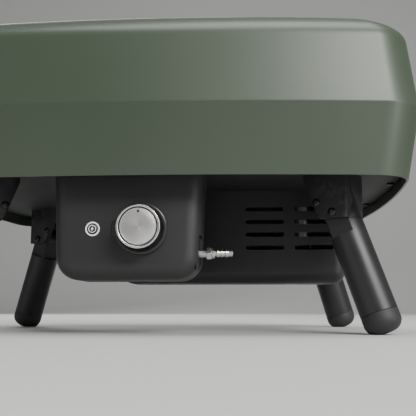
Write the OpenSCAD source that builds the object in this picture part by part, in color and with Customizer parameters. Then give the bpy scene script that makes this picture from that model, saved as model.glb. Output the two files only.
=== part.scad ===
// Portable gas oven on four folding legs.
// The frame stands on the floor: origin under the middle of the oven, +Z up, gas controls on the -Y side,
// cooking mouth on the +Y side. Each sub-part is its own module and its own solid.

/* [Body] */
// Width of the oven at the belt crease
body_w = 541; // [480:1:620]
// Depth of the oven at the belt crease
body_d = 451; // [420:1:560]
// Height of the roof above the floor
body_h = 332; // [290:1:420]
// Height of the belt crease above the floor
belt_z = 217; // [205:1:225]
// Height of the bottom lip above the floor
lip_z = 149; // [140:1:155]
// How far the bottom lip sits inside the crease
lip_inset = 11; // [8:1:24]
// How far the upper wall leans in from the crease to the shoulder
lean_inset = 8; // [4:1:36]
// Height of the rounded roof above the shoulder
roof_rise = 47; // [30:1:55]
// How far the rounded shoulder reaches in
roof_inset = 110; // [60:1:120]
// Radius of the body's vertical corners
corner_r = 34; // [20:1:80]
// How far each side bows outwards
side_bow = 14; // [4:1:20]
// Thickness of the shell's sheet
shell_t = 2; // [1.2:0.1:3]
// Width of the ledge that the base pan screws to
ledge_w = 14; // [10:1:20]

/* [Chamber] */
// Room between the crease and the chamber's side wall, with insulation in it
side_room = 84.5; // [70:0.5:100]
// Room between the crease and the chamber's back wall
back_room = 53.5; // [45:0.5:70]
// Room between the crease and the chamber's front wall
front_room = 60.5; // [50:0.5:80]
// Height of the chamber's underside above the base pan
floor_room = 23; // [18:1:25]
// Room between the chamber's crown and the roof
crown_room = 20; // [14:1:30]
// Rise of the chamber's arched roof
arch_rise = 22; // [10:1:30]
// Thickness of the chamber's sheet
liner_t = 2; // [1:0.1:3]
// Width of the mouth
mouth_w = 330; // [240:1:340]
// Height of the mouth's sill above the chamber's underside
sill_rise = 34; // [30:1:40]
// How far the mouth's top edge lies below the roof
mouth_drop = 34; // [30:1:45]
// Radius of the mouth's corners
mouth_r = 10; // [4:1:14]
// Thickness of the mouth frame's wall
mouth_t = 3; // [2:0.5:5]

/* [Stone and burner] */
// Thickness of the baking stone
stone_t = 12; // [10:1:15]
// Height of the rails under the stone
rail_h = 10; // [6:1:12]
// Width of the lane beside the stone, where the burner lies
lane_w = 52; // [46:1:60]
// Depth of the baking stone
stone_d = 325; // [220:1:330]
// Diameter of the burner tube
burner_dia = 30; // [22:1:32]
// Length of the burner tube
burner_len = 270; // [180:1:280]
// Diameter of the riser and of the venturi tube
venturi_dia = 26; // [20:1:28]
// Height of the venturi's axis above the floor
venturi_z = 105; // [95:1:120]

/* [Control box] */
// Left edge of the control box, seen from the controls
box_x = -100.5; // [-115:0.5:-85]
// Width of the control box
box_w = 149.5; // [135:0.5:180]
// How far the box's face lies inside the crease
box_setback = 42.5; // [35:0.5:60]
// Depth of the control box
box_depth = 63; // [55:1:70]
// Height of the box's underside above the floor
box_z = 53; // [45:1:58]
// Radius of the box's lower corners
box_r = 18; // [10:1:22]
// Radius of the box's front edges
box_edge_r = 12; // [6:1:16]
// Thickness of the box's wall
box_t = 2.5; // [2:0.1:3.5]

/* [Knob and igniter] */
// Knob's place to the right of the box's left edge
knob_in = 89; // [75:1:95]
// Height of the knob's and the igniter's axes above the floor
knob_z = 102; // [98:1:110]
// Diameter of the knob's skirt
knob_dia = 42; // [34:0.5:44]
// Diameter of the knob's brushed face
knob_face_dia = 35; // [26:0.5:36]
// Height of the knob over its bezel's floor
knob_h = 18.5; // [14:0.5:22]
// How far the knob pushes in
knob_push = 2.5; // [1.5:0.1:3]
// Diameter of the valve stem
stem_dia = 8; // [6:0.5:9]
// Igniter's place to the right of the box's left edge
igniter_in = 41.5; // [30:0.5:46]
// Diameter of the ring round the igniter button
ring_dia = 14; // [12:0.5:18]
// Diameter of the igniter button
button_dia = 10; // [8:0.5:11]

/* [Gas inlet] */
// Height of the inlet's axis above the floor
inlet_z = 79.5; // [74:0.5:84]
// Distance of the inlet's axis behind the box's face
inlet_back = 23; // [18:1:28]
// Diameter of the barb that the hose pushes on to
barb_dia = 8; // [6:0.5:10]
// Length of the barb from the nut to its tip
barb_len = 21; // [16:1:30]

/* [Burner housing] */
// Left end of the burner housing
housing_x = -57; // [-70:1:-45]
// How far the housing's right end lies inside the crease
housing_setback = 64; // [55:0.5:80]
// Width of the housing across its slotted faces
housing_w = 70; // [60:1:72]
// Height of the housing's underside above the floor
housing_z = 54.5; // [46:0.5:60]
// Radius of the housing's corners
housing_r = 14; // [8:1:18]
// Thickness of the housing's wall
housing_t = 2; // [1.5:0.1:3]
// Length of an air slot
slot_len = 45; // [30:1:48]
// Height of an air slot
slot_h = 5.3; // [3:0.1:6]
// Distance between slot rows
slot_pitch = 15.1; // [10:0.1:16]

/* [Legs] */
// Distance of a leg pivot inside the crease, across the width
pivot_inset_x = 82; // [75:0.5:100]
// Distance of a leg pivot inside the crease, along the depth
pivot_inset_y = 97.5; // [90:0.5:110]
// Drop of the pivot below the base pan
pivot_drop = 41; // [36:1:46]
// Direction in which the legs splay, from the width axis
splay_dir = 32; // [28:1:40]
// Tilt of a leg from the vertical
splay = 20.5; // [12:0.5:22]
// Diameter of a leg
leg_dia = 38; // [30:0.5:40]
// Wall of a leg's tube
leg_t = 2.5; // [1.5:0.1:4]
// Length of the rubber foot
foot_len = 20; // [14:1:28]
// Rounding of the rubber foot
foot_r = 12; // [6:1:14]
// Width of a leg bracket
bracket_w = 44; // [42:1:50]
// Thickness of the flattened part of the leg inside the bracket
tongue_t = 30; // [24:1:32]
// Diameter of the pivot bolts
pivot_dia = 8; // [6:0.5:10]

/* [Hidden] */
$fn = 48;

gap = 0.3;              // clearance between pieces that only lie close
fit = 0.05;             // radial clearance of a shaft in its bore
over = 1;               // how far a cut runs past its surface
hull_fn = 32;           // facets of the round children of a hull

// Heights of the body
pan_t = 2;
pan_rise = 14;          // the pan lies this far above the lip
pan_z = lip_z + pan_rise;
pan_top = pan_z + pan_t;
shoulder_z = body_h - roof_rise;
crown_rise = 4;         // the roof's middle stands this far over its edge
liner_z = pan_top + floor_room;
liner_top = body_h - crown_room;
sill_z = liner_z + sill_rise;
mouth_top = body_h - mouth_drop;
mouth_h = mouth_top - sill_z;

// Chamber plan
liner_x = body_w / 2 - side_room;
liner_back = -(body_d / 2 - back_room);
liner_front = body_d / 2 - front_room;
liner_mid = (liner_back + liner_front) / 2;
floor_top = liner_z + liner_t;
stone_z = floor_top + rail_h;
stone_w = 2 * (liner_x - liner_t) - lane_w - 2;
stone_x = -(liner_x - liner_t) + 1;
burner_x = liner_x - liner_t - lane_w / 2 - 1;
burner_z = stone_z + stone_t + 2;
guard_x = stone_x + stone_w + 2;
guard_t = 1.5;
probe_x = (guard_x + guard_t + burner_x - burner_dia / 2) / 2;
probe_y = 28;
probe_dia = 3;
insulator_dia = 5;

// Control box plan
box_face = -(body_d / 2 - box_setback);
box_back = box_face + box_depth;
box_right = box_x + box_w;
knob_x = box_x + knob_in;
igniter_x = box_x + igniter_in;
inlet_y = box_face + inlet_back;
backplate_t = 2;

// Knob stack, measured back from the bezel's floor
bezel_wall = 3.8;
bezel_floor = 1.2;
bezel_h = 4.5;
bezel_gap = 0.8;
knob_gap = knob_push + 0.5;
knob_y = box_face - bezel_floor - knob_gap;
rim_h = 3;
face_h = 1.6;
stem_tip = knob_y - knob_h + rim_h + 2;
collar_y = box_face + box_t + 3.5;
collar_t = 3;
collar_r = stem_dia / 2 + 3.5;
nut_t = 2.5;
spring_wire = 1;
spring_len = 5.5;
valve_y = collar_y + collar_t + knob_push + spring_len + 0.5;
valve_r = 12;
valve_len = 26;
pipe_dia = 8;

// Igniter and leads
button_push = 1.5;
button_proud = 2;
module_y = box_face + box_t + 8 + button_push + 0.6;
module_back = valve_y + valve_len - 6;
lead_dia = 3;
lead_z = pan_z - 14;
spark_lead_x = housing_x + 24;
probe_lead_x = knob_x + 14;

// Burner housing plan
housing_right = body_w / 2 - housing_setback;
housing_len = housing_right - housing_x;
slot_mid_z = 118.6;
slot_cols = [94, 37];   // distance of the slot columns' middles from the housing's right end

// Leg geometry, in a frame with the pivot at its origin and +X towards the splay
pivot_x = body_w / 2 - pivot_inset_x;
pivot_y = body_d / 2 - pivot_inset_y;
pivot_z = pan_z - pivot_drop;
stop_z = -6;            // the leg's shoulder meets the bracket at this height
foot_press = 1.2;       // the rubber's round end is cut flat this far up
leg_end = (pivot_z + foot_r * cos(splay) - (leg_dia / 2 - foot_r) * sin(splay) - foot_r + foot_press) / cos(splay);
foot_top = leg_end - foot_len;
eye_r = 13;
web_t = 2.2;
bracket_out = eye_r + gap + web_t;
full_from = 24;         // below this distance from the pivot the leg is a full round
bore_r = pivot_dia / 2 + fit;
head_r = 5.5;
head_t = 2.5;
upper_bolt = [-17, 11];
bolt_dia = 5;
bolt_len = 5;
corners = [[1, 1], [-1, 1], [1, -1], [-1, -1]];

green = [0.22, 0.27, 0.20];
black = [0.06, 0.06, 0.065];
dark_leg = [0.13, 0.13, 0.14];
steel = [0.62, 0.62, 0.63];
brass = [0.72, 0.58, 0.30];

// ---------- shapes that several sub-parts share ----------

// A rounded rectangle with bowed sides: corner arcs joined by side points, then pushed out by the bow.
corner_steps = 8;
side_steps = 6;
function body_outline(inset) =
    let (a = body_w / 2 - side_bow - inset, b = body_d / 2 - side_bow - inset,
        r = min(0.9 * a, 0.9 * b, corner_r * (1 - inset / 400)),
        quads = [[a - r, b - r], [r - a, b - r], [r - a, r - b], [a - r, r - b]],
        arcs = [for (q = [0:3]) [for (k = [0:corner_steps])
            let (t = 90 * (q + k / corner_steps)) quads[q] + r * [cos(t), sin(t)]]],
        raw = [for (q = [0:3]) each concat(arcs[q], [for (k = [1:side_steps - 1])
            let (u = k / side_steps) arcs[q][corner_steps] * (1 - u) + arcs[(q + 1) % 4][0] * u])])
    [for (p = raw) [p[0] * (1 + side_bow / a * (1 - pow(p[1] / b, 2))),
        p[1] * (1 + side_bow / b * (1 - pow(p[0] / a, 2)))]];

// Levels of the body's outer surface, [inset, height], pulled inwards by off.
roof_steps = 7;
function body_levels(off) = concat(
    [[lip_inset + off, lip_z], [off, belt_z], [lean_inset + off, shoulder_z]],
    [for (k = [1:roof_steps]) let (t = 90 * k / roof_steps)
        [lean_inset + roof_inset * (1 - cos(t)) + off, shoulder_z + (roof_rise - crown_rise - off) * sin(t)]],
    [[lean_inset + 1.6 * roof_inset, body_h - off]]);

module loft(levels) {
    rings = [for (l = levels) [for (p = body_outline(l[0])) [p[0], p[1], l[1]]]];
    n = len(rings[0]);
    m = len(rings);
    polyhedron([for (r = rings) each r],
        concat([[for (i = [0:n - 1]) i]], [[for (i = [0:n - 1]) m * n - 1 - i]],
            [for (j = [0:m - 2]) for (i = [0:n - 1]) let (k = (i + 1) % n)
                each [[j * n + i, (j + 1) * n + i, (j + 1) * n + k], [j * n + i, (j + 1) * n + k, j * n + k]]]));
}

function lean_at(z) = z < belt_z ? lip_inset * (belt_z - z) / (belt_z - lip_z) : 0;

module body_slab(inset, z, h) {
    translate([0, 0, z]) linear_extrude(h) polygon(body_outline(inset));
}

// A rectangle with round corners, centred, made of squares and circles.
module round_rect(w, h, r) {
    square([w - 2 * r, h], center = true);
    square([w, h - 2 * r], center = true);
    for (x = [-1, 1], y = [-1, 1]) translate([x * (w / 2 - r), y * (h / 2 - r)]) circle(r);
}

// A flat outline stood up so that its extrusion runs along +Y from y0.
module along_y(y0, len) {
    translate([0, y0 + len, 0]) rotate([90, 0, 0]) linear_extrude(len) children();
}

module rod_y(x, y0, z, r, len) {
    translate([x, y0, z]) rotate([-90, 0, 0]) cylinder(r = r, h = len);
}

module rod_x(x0, y, z, r, len) {
    translate([x0, y, z]) rotate([0, 90, 0]) cylinder(r = r, h = len);
}

// A pipe through the given points, each leg square to the last, round at its bends.
module run(points, r) {
    for (i = [0:len(points) - 2]) let (d = points[i + 1] - points[i], h = norm(d))
        translate(points[i]) rotate([0, acos(d[2] / h), atan2(d[1], d[0])]) cylinder(r = r, h = h);
    for (i = [1:1:len(points) - 2]) translate(points[i]) sphere(r);
}

// A thin lead swept along the given points, with a mitred ring at each.
function unit(v) = v / norm(v);
module lead(points, r) {
    sides = 8;
    last = len(points) - 1;
    function way(i) = unit(points[min(i + 1, last)] - points[min(i, last - 1)]);
    function along(i) = unit(way(i) + way(max(i - 1, 0)));
    function ring(i) = let (t = along(i), u = unit(cross(along(i), [0.31, 0.22, 1])), v = cross(t, u))
        [for (k = [0:sides - 1]) points[i] + r * (cos(360 * k / sides) * u + sin(360 * k / sides) * v)];
    polyhedron([for (i = [0:last]) each ring(i)], concat(
        [[for (k = [0:sides - 1]) k]], [[for (k = [0:sides - 1]) (last + 1) * sides - 1 - k]],
        [for (i = [0:last - 1]) for (k = [0:sides - 1]) let (m = (k + 1) % sides) each
            [[i * sides + k, (i + 1) * sides + k, (i + 1) * sides + m],
                [i * sides + k, (i + 1) * sides + m, i * sides + m]]]));
}

// ---------- body ----------

module mouth_outline(grow) {
    translate([0, sill_z + mouth_h / 2]) round_rect(mouth_w + 2 * grow, mouth_h + 2 * grow, mouth_r + grow);
}

module outer_shell() {
    color(green) difference() {
        union() {
            difference() {
                loft(body_levels(0));
                loft(concat([[lip_inset + shell_t + 0.5, lip_z - 2]], body_levels(shell_t)));
            }
            difference() {
                body_slab(lean_at(pan_top) + shell_t / 2, pan_top, shell_t);
                body_slab(lean_at(pan_top) + shell_t + ledge_w, pan_top - over, shell_t + 2 * over);
            }
        }
        along_y(0, body_d) mouth_outline(mouth_t + gap);
    }
}

function pan_screw_places() = [for (s = corners) each
    [[s[0] * (body_w / 2 - 19.5), s[1] * 78], [s[0] * 95, s[1] * (body_d / 2 - 19.5)]]];

module base_pan() {
    color(black) difference() {
        body_slab(lean_at(pan_z) + shell_t + 1, pan_z, pan_t);
        translate([burner_x, 0, pan_z - over]) cylinder(r = venturi_dia / 2 + 4, h = pan_t + 2 * over);
        for (y = [-1, 1]) translate([probe_x, y * probe_y, pan_z - over])
            cylinder(r = insulator_dia / 2 + gap, h = pan_t + 2 * over);
        for (p = pan_screw_places()) translate([p[0], p[1], pan_z - over]) cylinder(r = 2.2, h = pan_t + 2 * over);
        for (s = corners) at_leg(s) for (x = bracket_screw_x) translate([x, 0, pivot_drop - over])
            cylinder(r = 2.7, h = pan_t + 2 * over);
    }
}

module pan_screws() {
    color(steel) for (p = pan_screw_places()) translate([p[0], p[1], 0]) {
        translate([0, 0, pan_z - 2]) cylinder(r = 4, h = 2);
        translate([0, 0, pan_z - 1]) cylinder(r = 2, h = pan_t);
    }
}

module liner_outline(grow) {
    half = liner_x + grow;
    top = liner_top + grow;
    rise = arch_rise;
    arch_r = (half * half + rise * rise) / (2 * rise);
    intersection() {
        translate([-half, liner_z - grow]) square([2 * half, top - liner_z + grow]);
        translate([0, top - arch_r]) circle(arch_r, $fn = 360);
    }
}

module insulation() {
    color([0.8, 0.78, 0.7]) difference() {
        loft(concat([[lean_at(pan_top + 4) + shell_t + 2, pan_top + shell_t + 1.5]],
            [for (l = body_levels(shell_t + 2)) if (l[1] > pan_top + shell_t + 2) l]));
        along_y(liner_back - gap, liner_front - liner_back + 2 * gap) liner_outline(gap);
        along_y(0, body_d) mouth_outline(mouth_t + 2 * gap);
        translate([burner_x, 0, pan_z]) cylinder(r = venturi_dia / 2 + 2, h = floor_room + pan_t);
        for (y = [-1, 1]) translate([probe_x, y * probe_y, pan_z])
            cylinder(r = insulator_dia / 2 + gap, h = floor_room + pan_t);
        for (s = corners) at_leg(s) for (x = bracket_screw_x) translate([x, 0, pivot_drop])
            cylinder(r = 6, h = 10);
    }
}

module chamber_liner() {
    color(steel) difference() {
        along_y(liner_back, liner_front - liner_back) liner_outline(0);
        along_y(liner_back + liner_t, liner_front - liner_back - 2 * liner_t) liner_outline(-liner_t);
        along_y(liner_front - 2 * liner_t, 4 * liner_t) mouth_outline(0);
        translate([burner_x, 0, liner_z - over]) cylinder(r = venturi_dia / 2 + 1, h = liner_t + 2 * over);
        for (y = [-1, 1]) translate([probe_x, y * probe_y, liner_z - over])
            cylinder(r = insulator_dia / 2 + gap, h = liner_t + 2 * over);
    }
}

module mouth_frame() {
    color(black) intersection() {
        difference() {
            along_y(liner_front, body_d / 2) mouth_outline(mouth_t);
            along_y(liner_front - over, body_d / 2 + 2 * over) mouth_outline(0);
        }
        loft(concat([[lip_inset, lip_z - 2]], body_levels(-1.2)));
    }
}

module stone_rails() {
    rail_w = 12;
    color(black) for (u = [0.12, 0.5, 0.88])
        translate([stone_x + stone_w * u - rail_w / 2, liner_mid - stone_d / 2 + 4, floor_top])
            cube([rail_w, stone_d - 8, rail_h]);
}

module baking_stone() {
    color([0.76, 0.68, 0.56]) translate([stone_x, liner_mid - stone_d / 2, stone_z]) cube([stone_w, stone_d, stone_t]);
}

// ---------- burner ----------

module burner_tube() {
    port_pitch = 18;
    ports = floor((burner_len - 40) / port_pitch);
    color(steel) difference() {
        rod_y(burner_x, -burner_len / 2, burner_z + burner_dia / 2, burner_dia / 2, burner_len);
        rod_y(burner_x, -burner_len / 2 + 1.5, burner_z + burner_dia / 2, burner_dia / 2 - 1.5, burner_len - 3);
        for (k = [0:ports]) translate([burner_x, (k - ports / 2) * port_pitch, burner_z + burner_dia / 2])
            rotate([0, -50, 0]) cylinder(r = 1.8, h = burner_dia);
        translate([burner_x, 0, burner_z - over]) cylinder(r = venturi_dia / 2 - 2, h = 8);
    }
}

module burner_guard() {
    guard_h = 40;
    guard_len = burner_len + 20;
    holes = 12;
    color(steel) difference() {
        translate([guard_x, -guard_len / 2, floor_top]) cube([guard_t, guard_len, guard_h]);
        for (k = [0:holes - 1]) rod_x(guard_x - over, (k - (holes - 1) / 2) * guard_len / (holes + 1),
            floor_top + guard_h - 10, 4, guard_t + 2 * over);
    }
}

module burner_riser() {
    r = venturi_dia / 2;
    color(steel) difference() {
        union() {
            translate([burner_x, 0, venturi_z]) cylinder(r = r, h = burner_z + 6 - venturi_z);
            translate([burner_x, 0, venturi_z]) sphere(r);
            rod_x(burner_x - r - 6, 0, venturi_z, r, r + 6);
        }
        translate([burner_x, 0, venturi_z]) cylinder(r = r - 2, h = burner_z + 20 - venturi_z);
        translate([burner_x, 0, venturi_z]) sphere(r - 2);
        rod_x(burner_x - r - 7, 0, venturi_z, r - 2, r + 7);
        rod_y(burner_x, -burner_len / 2, burner_z + burner_dia / 2, burner_dia / 2 + 0.1, burner_len);
    }
}

venturi_x0 = knob_x + 48;
venturi_x1 = burner_x - venturi_dia / 2 - 6;

module venturi_tube() {
    r = venturi_dia / 2;
    bell = r + 4;
    len = venturi_x1 - venturi_x0;
    color(steel) translate([venturi_x0, 0, venturi_z]) rotate([0, 90, 0]) rotate_extrude()
        polygon([[bell - 2, 0], [bell, 0], [bell, 8], [r - 1, 26], [r - 1, len - 20], [r, len - 8], [r, len],
            [r - 2, len], [r - 2, len - 8], [r - 3, len - 20], [r - 3, 26], [bell - 2, 8]]);
}

module air_shutter() {
    shutter_r = venturi_dia / 2 + 5;
    color(steel) difference() {
        rod_x(venturi_x0 - 2.2, 0, venturi_z, shutter_r, 2);
        rod_x(venturi_x0 - 4, 0, venturi_z, 5 + fit, 6);
        for (a = [45:90:315]) translate([venturi_x0 - 4, 0, venturi_z]) rotate([a, 0, 0])
            translate([0, 0, shutter_r * 0.62]) rotate([0, 90, 0]) cylinder(r = 4, h = 6);
    }
}

injector_x = knob_x + 16;

module gas_injector() {
    color(brass) difference() {
        union() {
            rod_x(injector_x + 10, 0, venturi_z, 5, venturi_x0 + 6 - injector_x - 10);
            translate([injector_x, 0, venturi_z]) rotate([0, 90, 0]) cylinder(r = 8, h = 10, $fn = 6);
        }
        rod_x(injector_x - over, 0, venturi_z, 2.5, 18);
        rod_x(injector_x, 0, venturi_z, 0.6, venturi_x0 + 10 - injector_x);
    }
}

module manifold_pipe() {
    color(steel) run([[knob_x, valve_y + valve_len, venturi_z], [knob_x, 0, venturi_z],
        [injector_x, 0, venturi_z]], pipe_dia / 2);
}

module spark_electrode() {
    color([0.9, 0.89, 0.85]) translate([probe_x, probe_y, 0]) {
        translate([0, 0, pan_z - 8]) cylinder(r = insulator_dia / 2, h = burner_z - pan_z + 12);
        translate([0, 0, pan_z - 14]) cylinder(r = 1, h = burner_z - pan_z + 14 + burner_dia);
    }
}

module spark_lead() {
    z = lead_z - 10;
    color(black) lead([[igniter_x, module_back, z], [igniter_x, box_back + 6, z], [spark_lead_x, box_back + 60, z],
        [spark_lead_x, 0, z], [spark_lead_x + 20, probe_y, z], [probe_x - 12, probe_y, z],
        [probe_x, probe_y, lead_z - 4], [probe_x, probe_y, lead_z]], lead_dia / 2);
}

module thermocouple() {
    color(steel) translate([probe_x, -probe_y, 0]) {
        translate([0, 0, pan_z - 8]) cylinder(r = insulator_dia / 2, h = burner_z - pan_z + 6);
        translate([0, 0, pan_z - 14]) cylinder(r = probe_dia / 2, h = burner_z - pan_z + 10 + burner_dia);
    }
}

module thermocouple_lead() {
    y0 = valve_y + valve_len;
    z = lead_z - 22;
    color(brass) lead([[knob_x + 7, y0 + 0.05, knob_z + 5], [knob_x + 7, y0 + 3, knob_z + 5], [probe_lead_x, y0 + 9, z], [probe_lead_x, -probe_y + 4, z],
        [probe_lead_x + 16, -probe_y, z + 6], [probe_x - 10, -probe_y, z + 6], [probe_x, -probe_y, lead_z - 8],
        [probe_x, -probe_y, lead_z]], lead_dia / 2);
}

// ---------- burner housing ----------

module housing_form(shrink, rise) {
    r = housing_r - shrink;
    hull() for (x = [housing_x + shrink + r, housing_right - shrink - r],
        y = [-1, 1] * (housing_w / 2 - shrink - r)) {
        translate([x, y, housing_z + shrink + r]) sphere(r, $fn = hull_fn);
        translate([x, y, pan_z - gap / 3 - 1 + rise]) cylinder(r = r, h = 1, $fn = hull_fn);
    }
}

module slot_outline() {
    square([slot_len - slot_h, slot_h], center = true);
    for (s = [-1, 1]) translate([s * (slot_len - slot_h) / 2, 0]) circle(slot_h / 2);
}

module burner_housing() {
    color(black) difference() {
        housing_form(0, 0);
        housing_form(housing_t, 2);
        for (c = slot_cols, k = [-1.5:1:1.5]) along_y(-housing_w, 2 * housing_w)
            translate([housing_right - c, slot_mid_z + k * slot_pitch]) slot_outline();
        rod_y(knob_x, -housing_w, venturi_z, pipe_dia / 2 + 0.5, housing_w);
        rod_y(probe_lead_x, -housing_w, lead_z - 22, lead_dia / 2 + 0.5, housing_w);
        rod_y(spark_lead_x, -housing_w, lead_z - 10, lead_dia / 2 + 0.5, housing_w);
        for (x = [housing_x - over, housing_right - 4], y = [-1, 1]) rod_x(x, y * 14, pan_z - 14, 2.1, 4 + over);
    }
}

module housing_cleats() {
    cleat = 1.8;
    color(steel) for (side = [-1, 1]) {
        x = side < 0 ? housing_x + housing_t + gap : housing_right - housing_t - gap - cleat;
        xf = side < 0 ? x : x + cleat - 16;
        difference() {
            union() {
                translate([x, -21, pan_z - 22]) cube([cleat, 42, 22]);
                translate([xf, -21, pan_z - cleat]) cube([16, 42, cleat]);
            }
            for (y = [-1, 1]) rod_x(x - over, y * 14, pan_z - 14, 2.1, cleat + 2 * over);
        }
    }
}

module housing_screws() {
    color(steel) for (y = [-1, 1]) {
        rod_x(housing_x - 1.8, y * 14, pan_z - 14, 3.5, 1.8);
        rod_x(housing_x - 1, y * 14, pan_z - 14, 2, 8);
        rod_x(housing_right, y * 14, pan_z - 14, 3.5, 1.8);
        rod_x(housing_right - 7, y * 14, pan_z - 14, 2, 8);
    }
}

// ---------- control box ----------

module box_form(shrink, rise) {
    r = box_r - shrink;
    e = box_edge_r - shrink;
    back = box_back + rise;
    top = pan_z - gap / 3 + rise;
    draft = 2;
    hull() {
        for (x = [box_x + shrink + r + draft, box_right - shrink - r - draft]) {
            translate([x, box_face + shrink + r, box_z + shrink + r]) sphere(r, $fn = hull_fn);
            translate([x, back, box_z + shrink + r]) rotate([90, 0, 0]) cylinder(r = r, h = 1, $fn = hull_fn);
        }
        for (x = [box_x + shrink + e, box_right - shrink - e])
            translate([x, box_face + shrink + e, top - 1]) cylinder(r = e, h = 1, $fn = hull_fn);
        for (x = [box_x + shrink, box_right - shrink - 1]) translate([x, back - 1, top - 1]) cube(1);
    }
}

inlet_plate_w = 30;
inlet_plate_h = 34;
inlet_plate_t = 2;
plate_x = box_right - 5.5;      // outer face of the inlet plate, recessed in the box's side

module control_box() {
    color(black) difference() {
        box_form(0, 0);
        box_form(box_t, 2);
        rod_y(knob_x, box_face - over, knob_z, stem_dia / 2 + 4, box_t + 2 * over);
        rod_y(igniter_x, box_face - over, knob_z, button_dia / 2 + 0.2, box_t + 2 * over);
        translate([box_right - 8, inlet_y - inlet_plate_w / 2 - gap, inlet_z - inlet_plate_h / 2 - gap])
            cube([12, inlet_plate_w + 2 * gap, inlet_plate_h + 2 * gap]);
    }
}

module backplate_outline() {
    w = box_w - 2 * box_t - 6;
    h = pan_z - box_z - box_t - 2;
    translate([box_x + box_w / 2, box_z + box_t + 1 + h / 2]) round_rect(w, h, box_r - box_t);
}

module control_backplate() {
    color(black) difference() {
        union() {
            along_y(box_back - backplate_t - 1, backplate_t) backplate_outline();
            translate([box_x + 30, box_back - 18, pan_z - 2]) cube([box_w - 60, 16, 1.9]);
        }
        rod_y(knob_x, box_back - 6, venturi_z, pipe_dia / 2 + 0.5, 12);
        rod_y(probe_lead_x, box_back - 6, lead_z - 22, lead_dia / 2 + 0.5, 12);
        rod_y(igniter_x, box_back - 6, lead_z - 10, lead_dia / 2 + 0.5, 12);
        for (s = [-1, 1]) translate([box_x + box_w / 2 + s * 32, box_back - 11, pan_z - 6]) cylinder(r = 2.1, h = 8);
    }
}

module backplate_screws() {
    color(steel) for (s = [-1, 1]) translate([box_x + box_w / 2 + s * 32, box_back - 11, 0]) {
        translate([0, 0, pan_z - 4]) cylinder(r = 4, h = 2);
        translate([0, 0, pan_z - 3]) cylinder(r = 2, h = 2.8);
    }
}

module gas_valve() {
    color(brass) difference() {
        rod_y(knob_x, valve_y, knob_z, valve_r, valve_len);
        rod_y(knob_x, valve_y - over, knob_z, stem_dia / 2 + fit, 14 + over);
    }
}

module panel_nut() {
    nut_r = stem_dia / 2 + 3.8;
    color(steel) difference() {
        rod_y(knob_x, box_face - 1, knob_z, nut_r, box_t + nut_t);
        rod_y(knob_x, box_face - 2, knob_z, stem_dia / 2 + fit, box_t + nut_t + 4);
    }
}

// The return spring, drawn at the length it has when the knob is pushed home.
module valve_spring() {
    turns = 3;
    steps = 16;
    sides = 6;
    coil_r = stem_dia / 2 + 2;
    n = turns * steps;
    rise = spring_len - spring_wire;
    function ring(i) = let (a = 360 * i / steps) [for (k = [0:sides - 1]) let (b = 360 * k / sides)
        [(coil_r + spring_wire / 2 * cos(b)) * cos(a), (coil_r + spring_wire / 2 * cos(b)) * sin(a),
            spring_wire / 2 + rise * i / n + spring_wire / 2 * sin(b)]];
    color(steel) translate([knob_x, valve_y - spring_len - 0.1, knob_z]) rotate([-90, 0, 0])
        polyhedron([for (i = [0:n]) each ring(i)], concat(
            [[for (k = [0:sides - 1]) k]], [[for (k = [0:sides - 1]) (n + 1) * sides - 1 - k]],
            [for (i = [0:n - 1]) for (k = [0:sides - 1]) let (m = (k + 1) % sides) each
                [[i * sides + k, (i + 1) * sides + k, (i + 1) * sides + m],
                    [i * sides + k, (i + 1) * sides + m, i * sides + m]]]));
}

module push_collar() {
    color(steel) difference() {
        rod_y(knob_x, collar_y, knob_z, collar_r, collar_t);
        rod_y(knob_x, collar_y - over, knob_z, stem_dia / 2 + fit, collar_t + 2 * over);
    }
}

module valve_stem() {
    color(steel) rod_y(knob_x, stem_tip, knob_z, stem_dia / 2, valve_y + 10 - stem_tip);
}

module knob_bezel() {
    outer = knob_dia / 2 + bezel_gap + bezel_wall;
    color(black) difference() {
        union() {
            rod_y(knob_x, box_face - bezel_h, knob_z, outer, bezel_h - 0.1);
            translate([knob_x - outer - 2.5, box_face - 3, knob_z - 7]) cube([6, 2.9, 14]);
        }
        rod_y(knob_x, box_face - bezel_h - over, knob_z, knob_dia / 2 + bezel_gap, bezel_h - bezel_floor + over);
        rod_y(knob_x, box_face - 2 * bezel_h, knob_z, stem_dia / 2 + 4, 3 * bezel_h);
    }
}

module knob_skirt() {
    color(black) difference() {
        rod_y(knob_x, knob_y - knob_h + rim_h, knob_z, knob_dia / 2 - 0.4, knob_h - rim_h);
        rod_y(knob_x, stem_tip, knob_z, stem_dia / 2 + fit, knob_h);
    }
}

module knob_rim() {
    y0 = knob_y - knob_h;
    color(steel) difference() {
        rod_y(knob_x, y0, knob_z, knob_dia / 2, rim_h);
        rod_y(knob_x, y0 - over, knob_z, knob_face_dia / 2 + 1.2, rim_h + 2 * over);
    }
}

module knob_face() {
    y0 = knob_y - knob_h + rim_h - face_h;
    color(steel) difference() {
        rod_y(knob_x, y0 - 1, knob_z, knob_face_dia / 2, face_h + 1);
        rod_y(knob_x, y0 - 2, knob_z + knob_face_dia / 2 - 3.2, 1.2, 2.2);
    }
}

module knob_pointer() {
    y0 = knob_y - knob_h + rim_h - face_h;
    color("white") rod_y(knob_x, y0 - 1, knob_z + knob_face_dia / 2 - 3.2, 1.15, 1.2);
}

module igniter_ring() {
    color("white") difference() {
        rod_y(igniter_x, box_face - 1.3, knob_z, ring_dia / 2, 1.2);
        rod_y(igniter_x, box_face - 3, knob_z, button_dia / 2 + 0.2, 6);
    }
}

module igniter_button() {
    color(black) {
        rod_y(igniter_x, box_face - button_proud, knob_z, button_dia / 2, button_proud + box_t + 1);
        rod_y(igniter_x, box_face + box_t + 0.4, knob_z, button_dia / 2 + 1.2, 2);
        rod_y(igniter_x, box_face + box_t + 1, knob_z, 2.5, 7);
    }
}

module igniter_module() {
    color([0.2, 0.2, 0.22]) translate([igniter_x - 13, module_y, knob_z - 15])
        cube([26, module_back - module_y, 52]);
}

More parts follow.
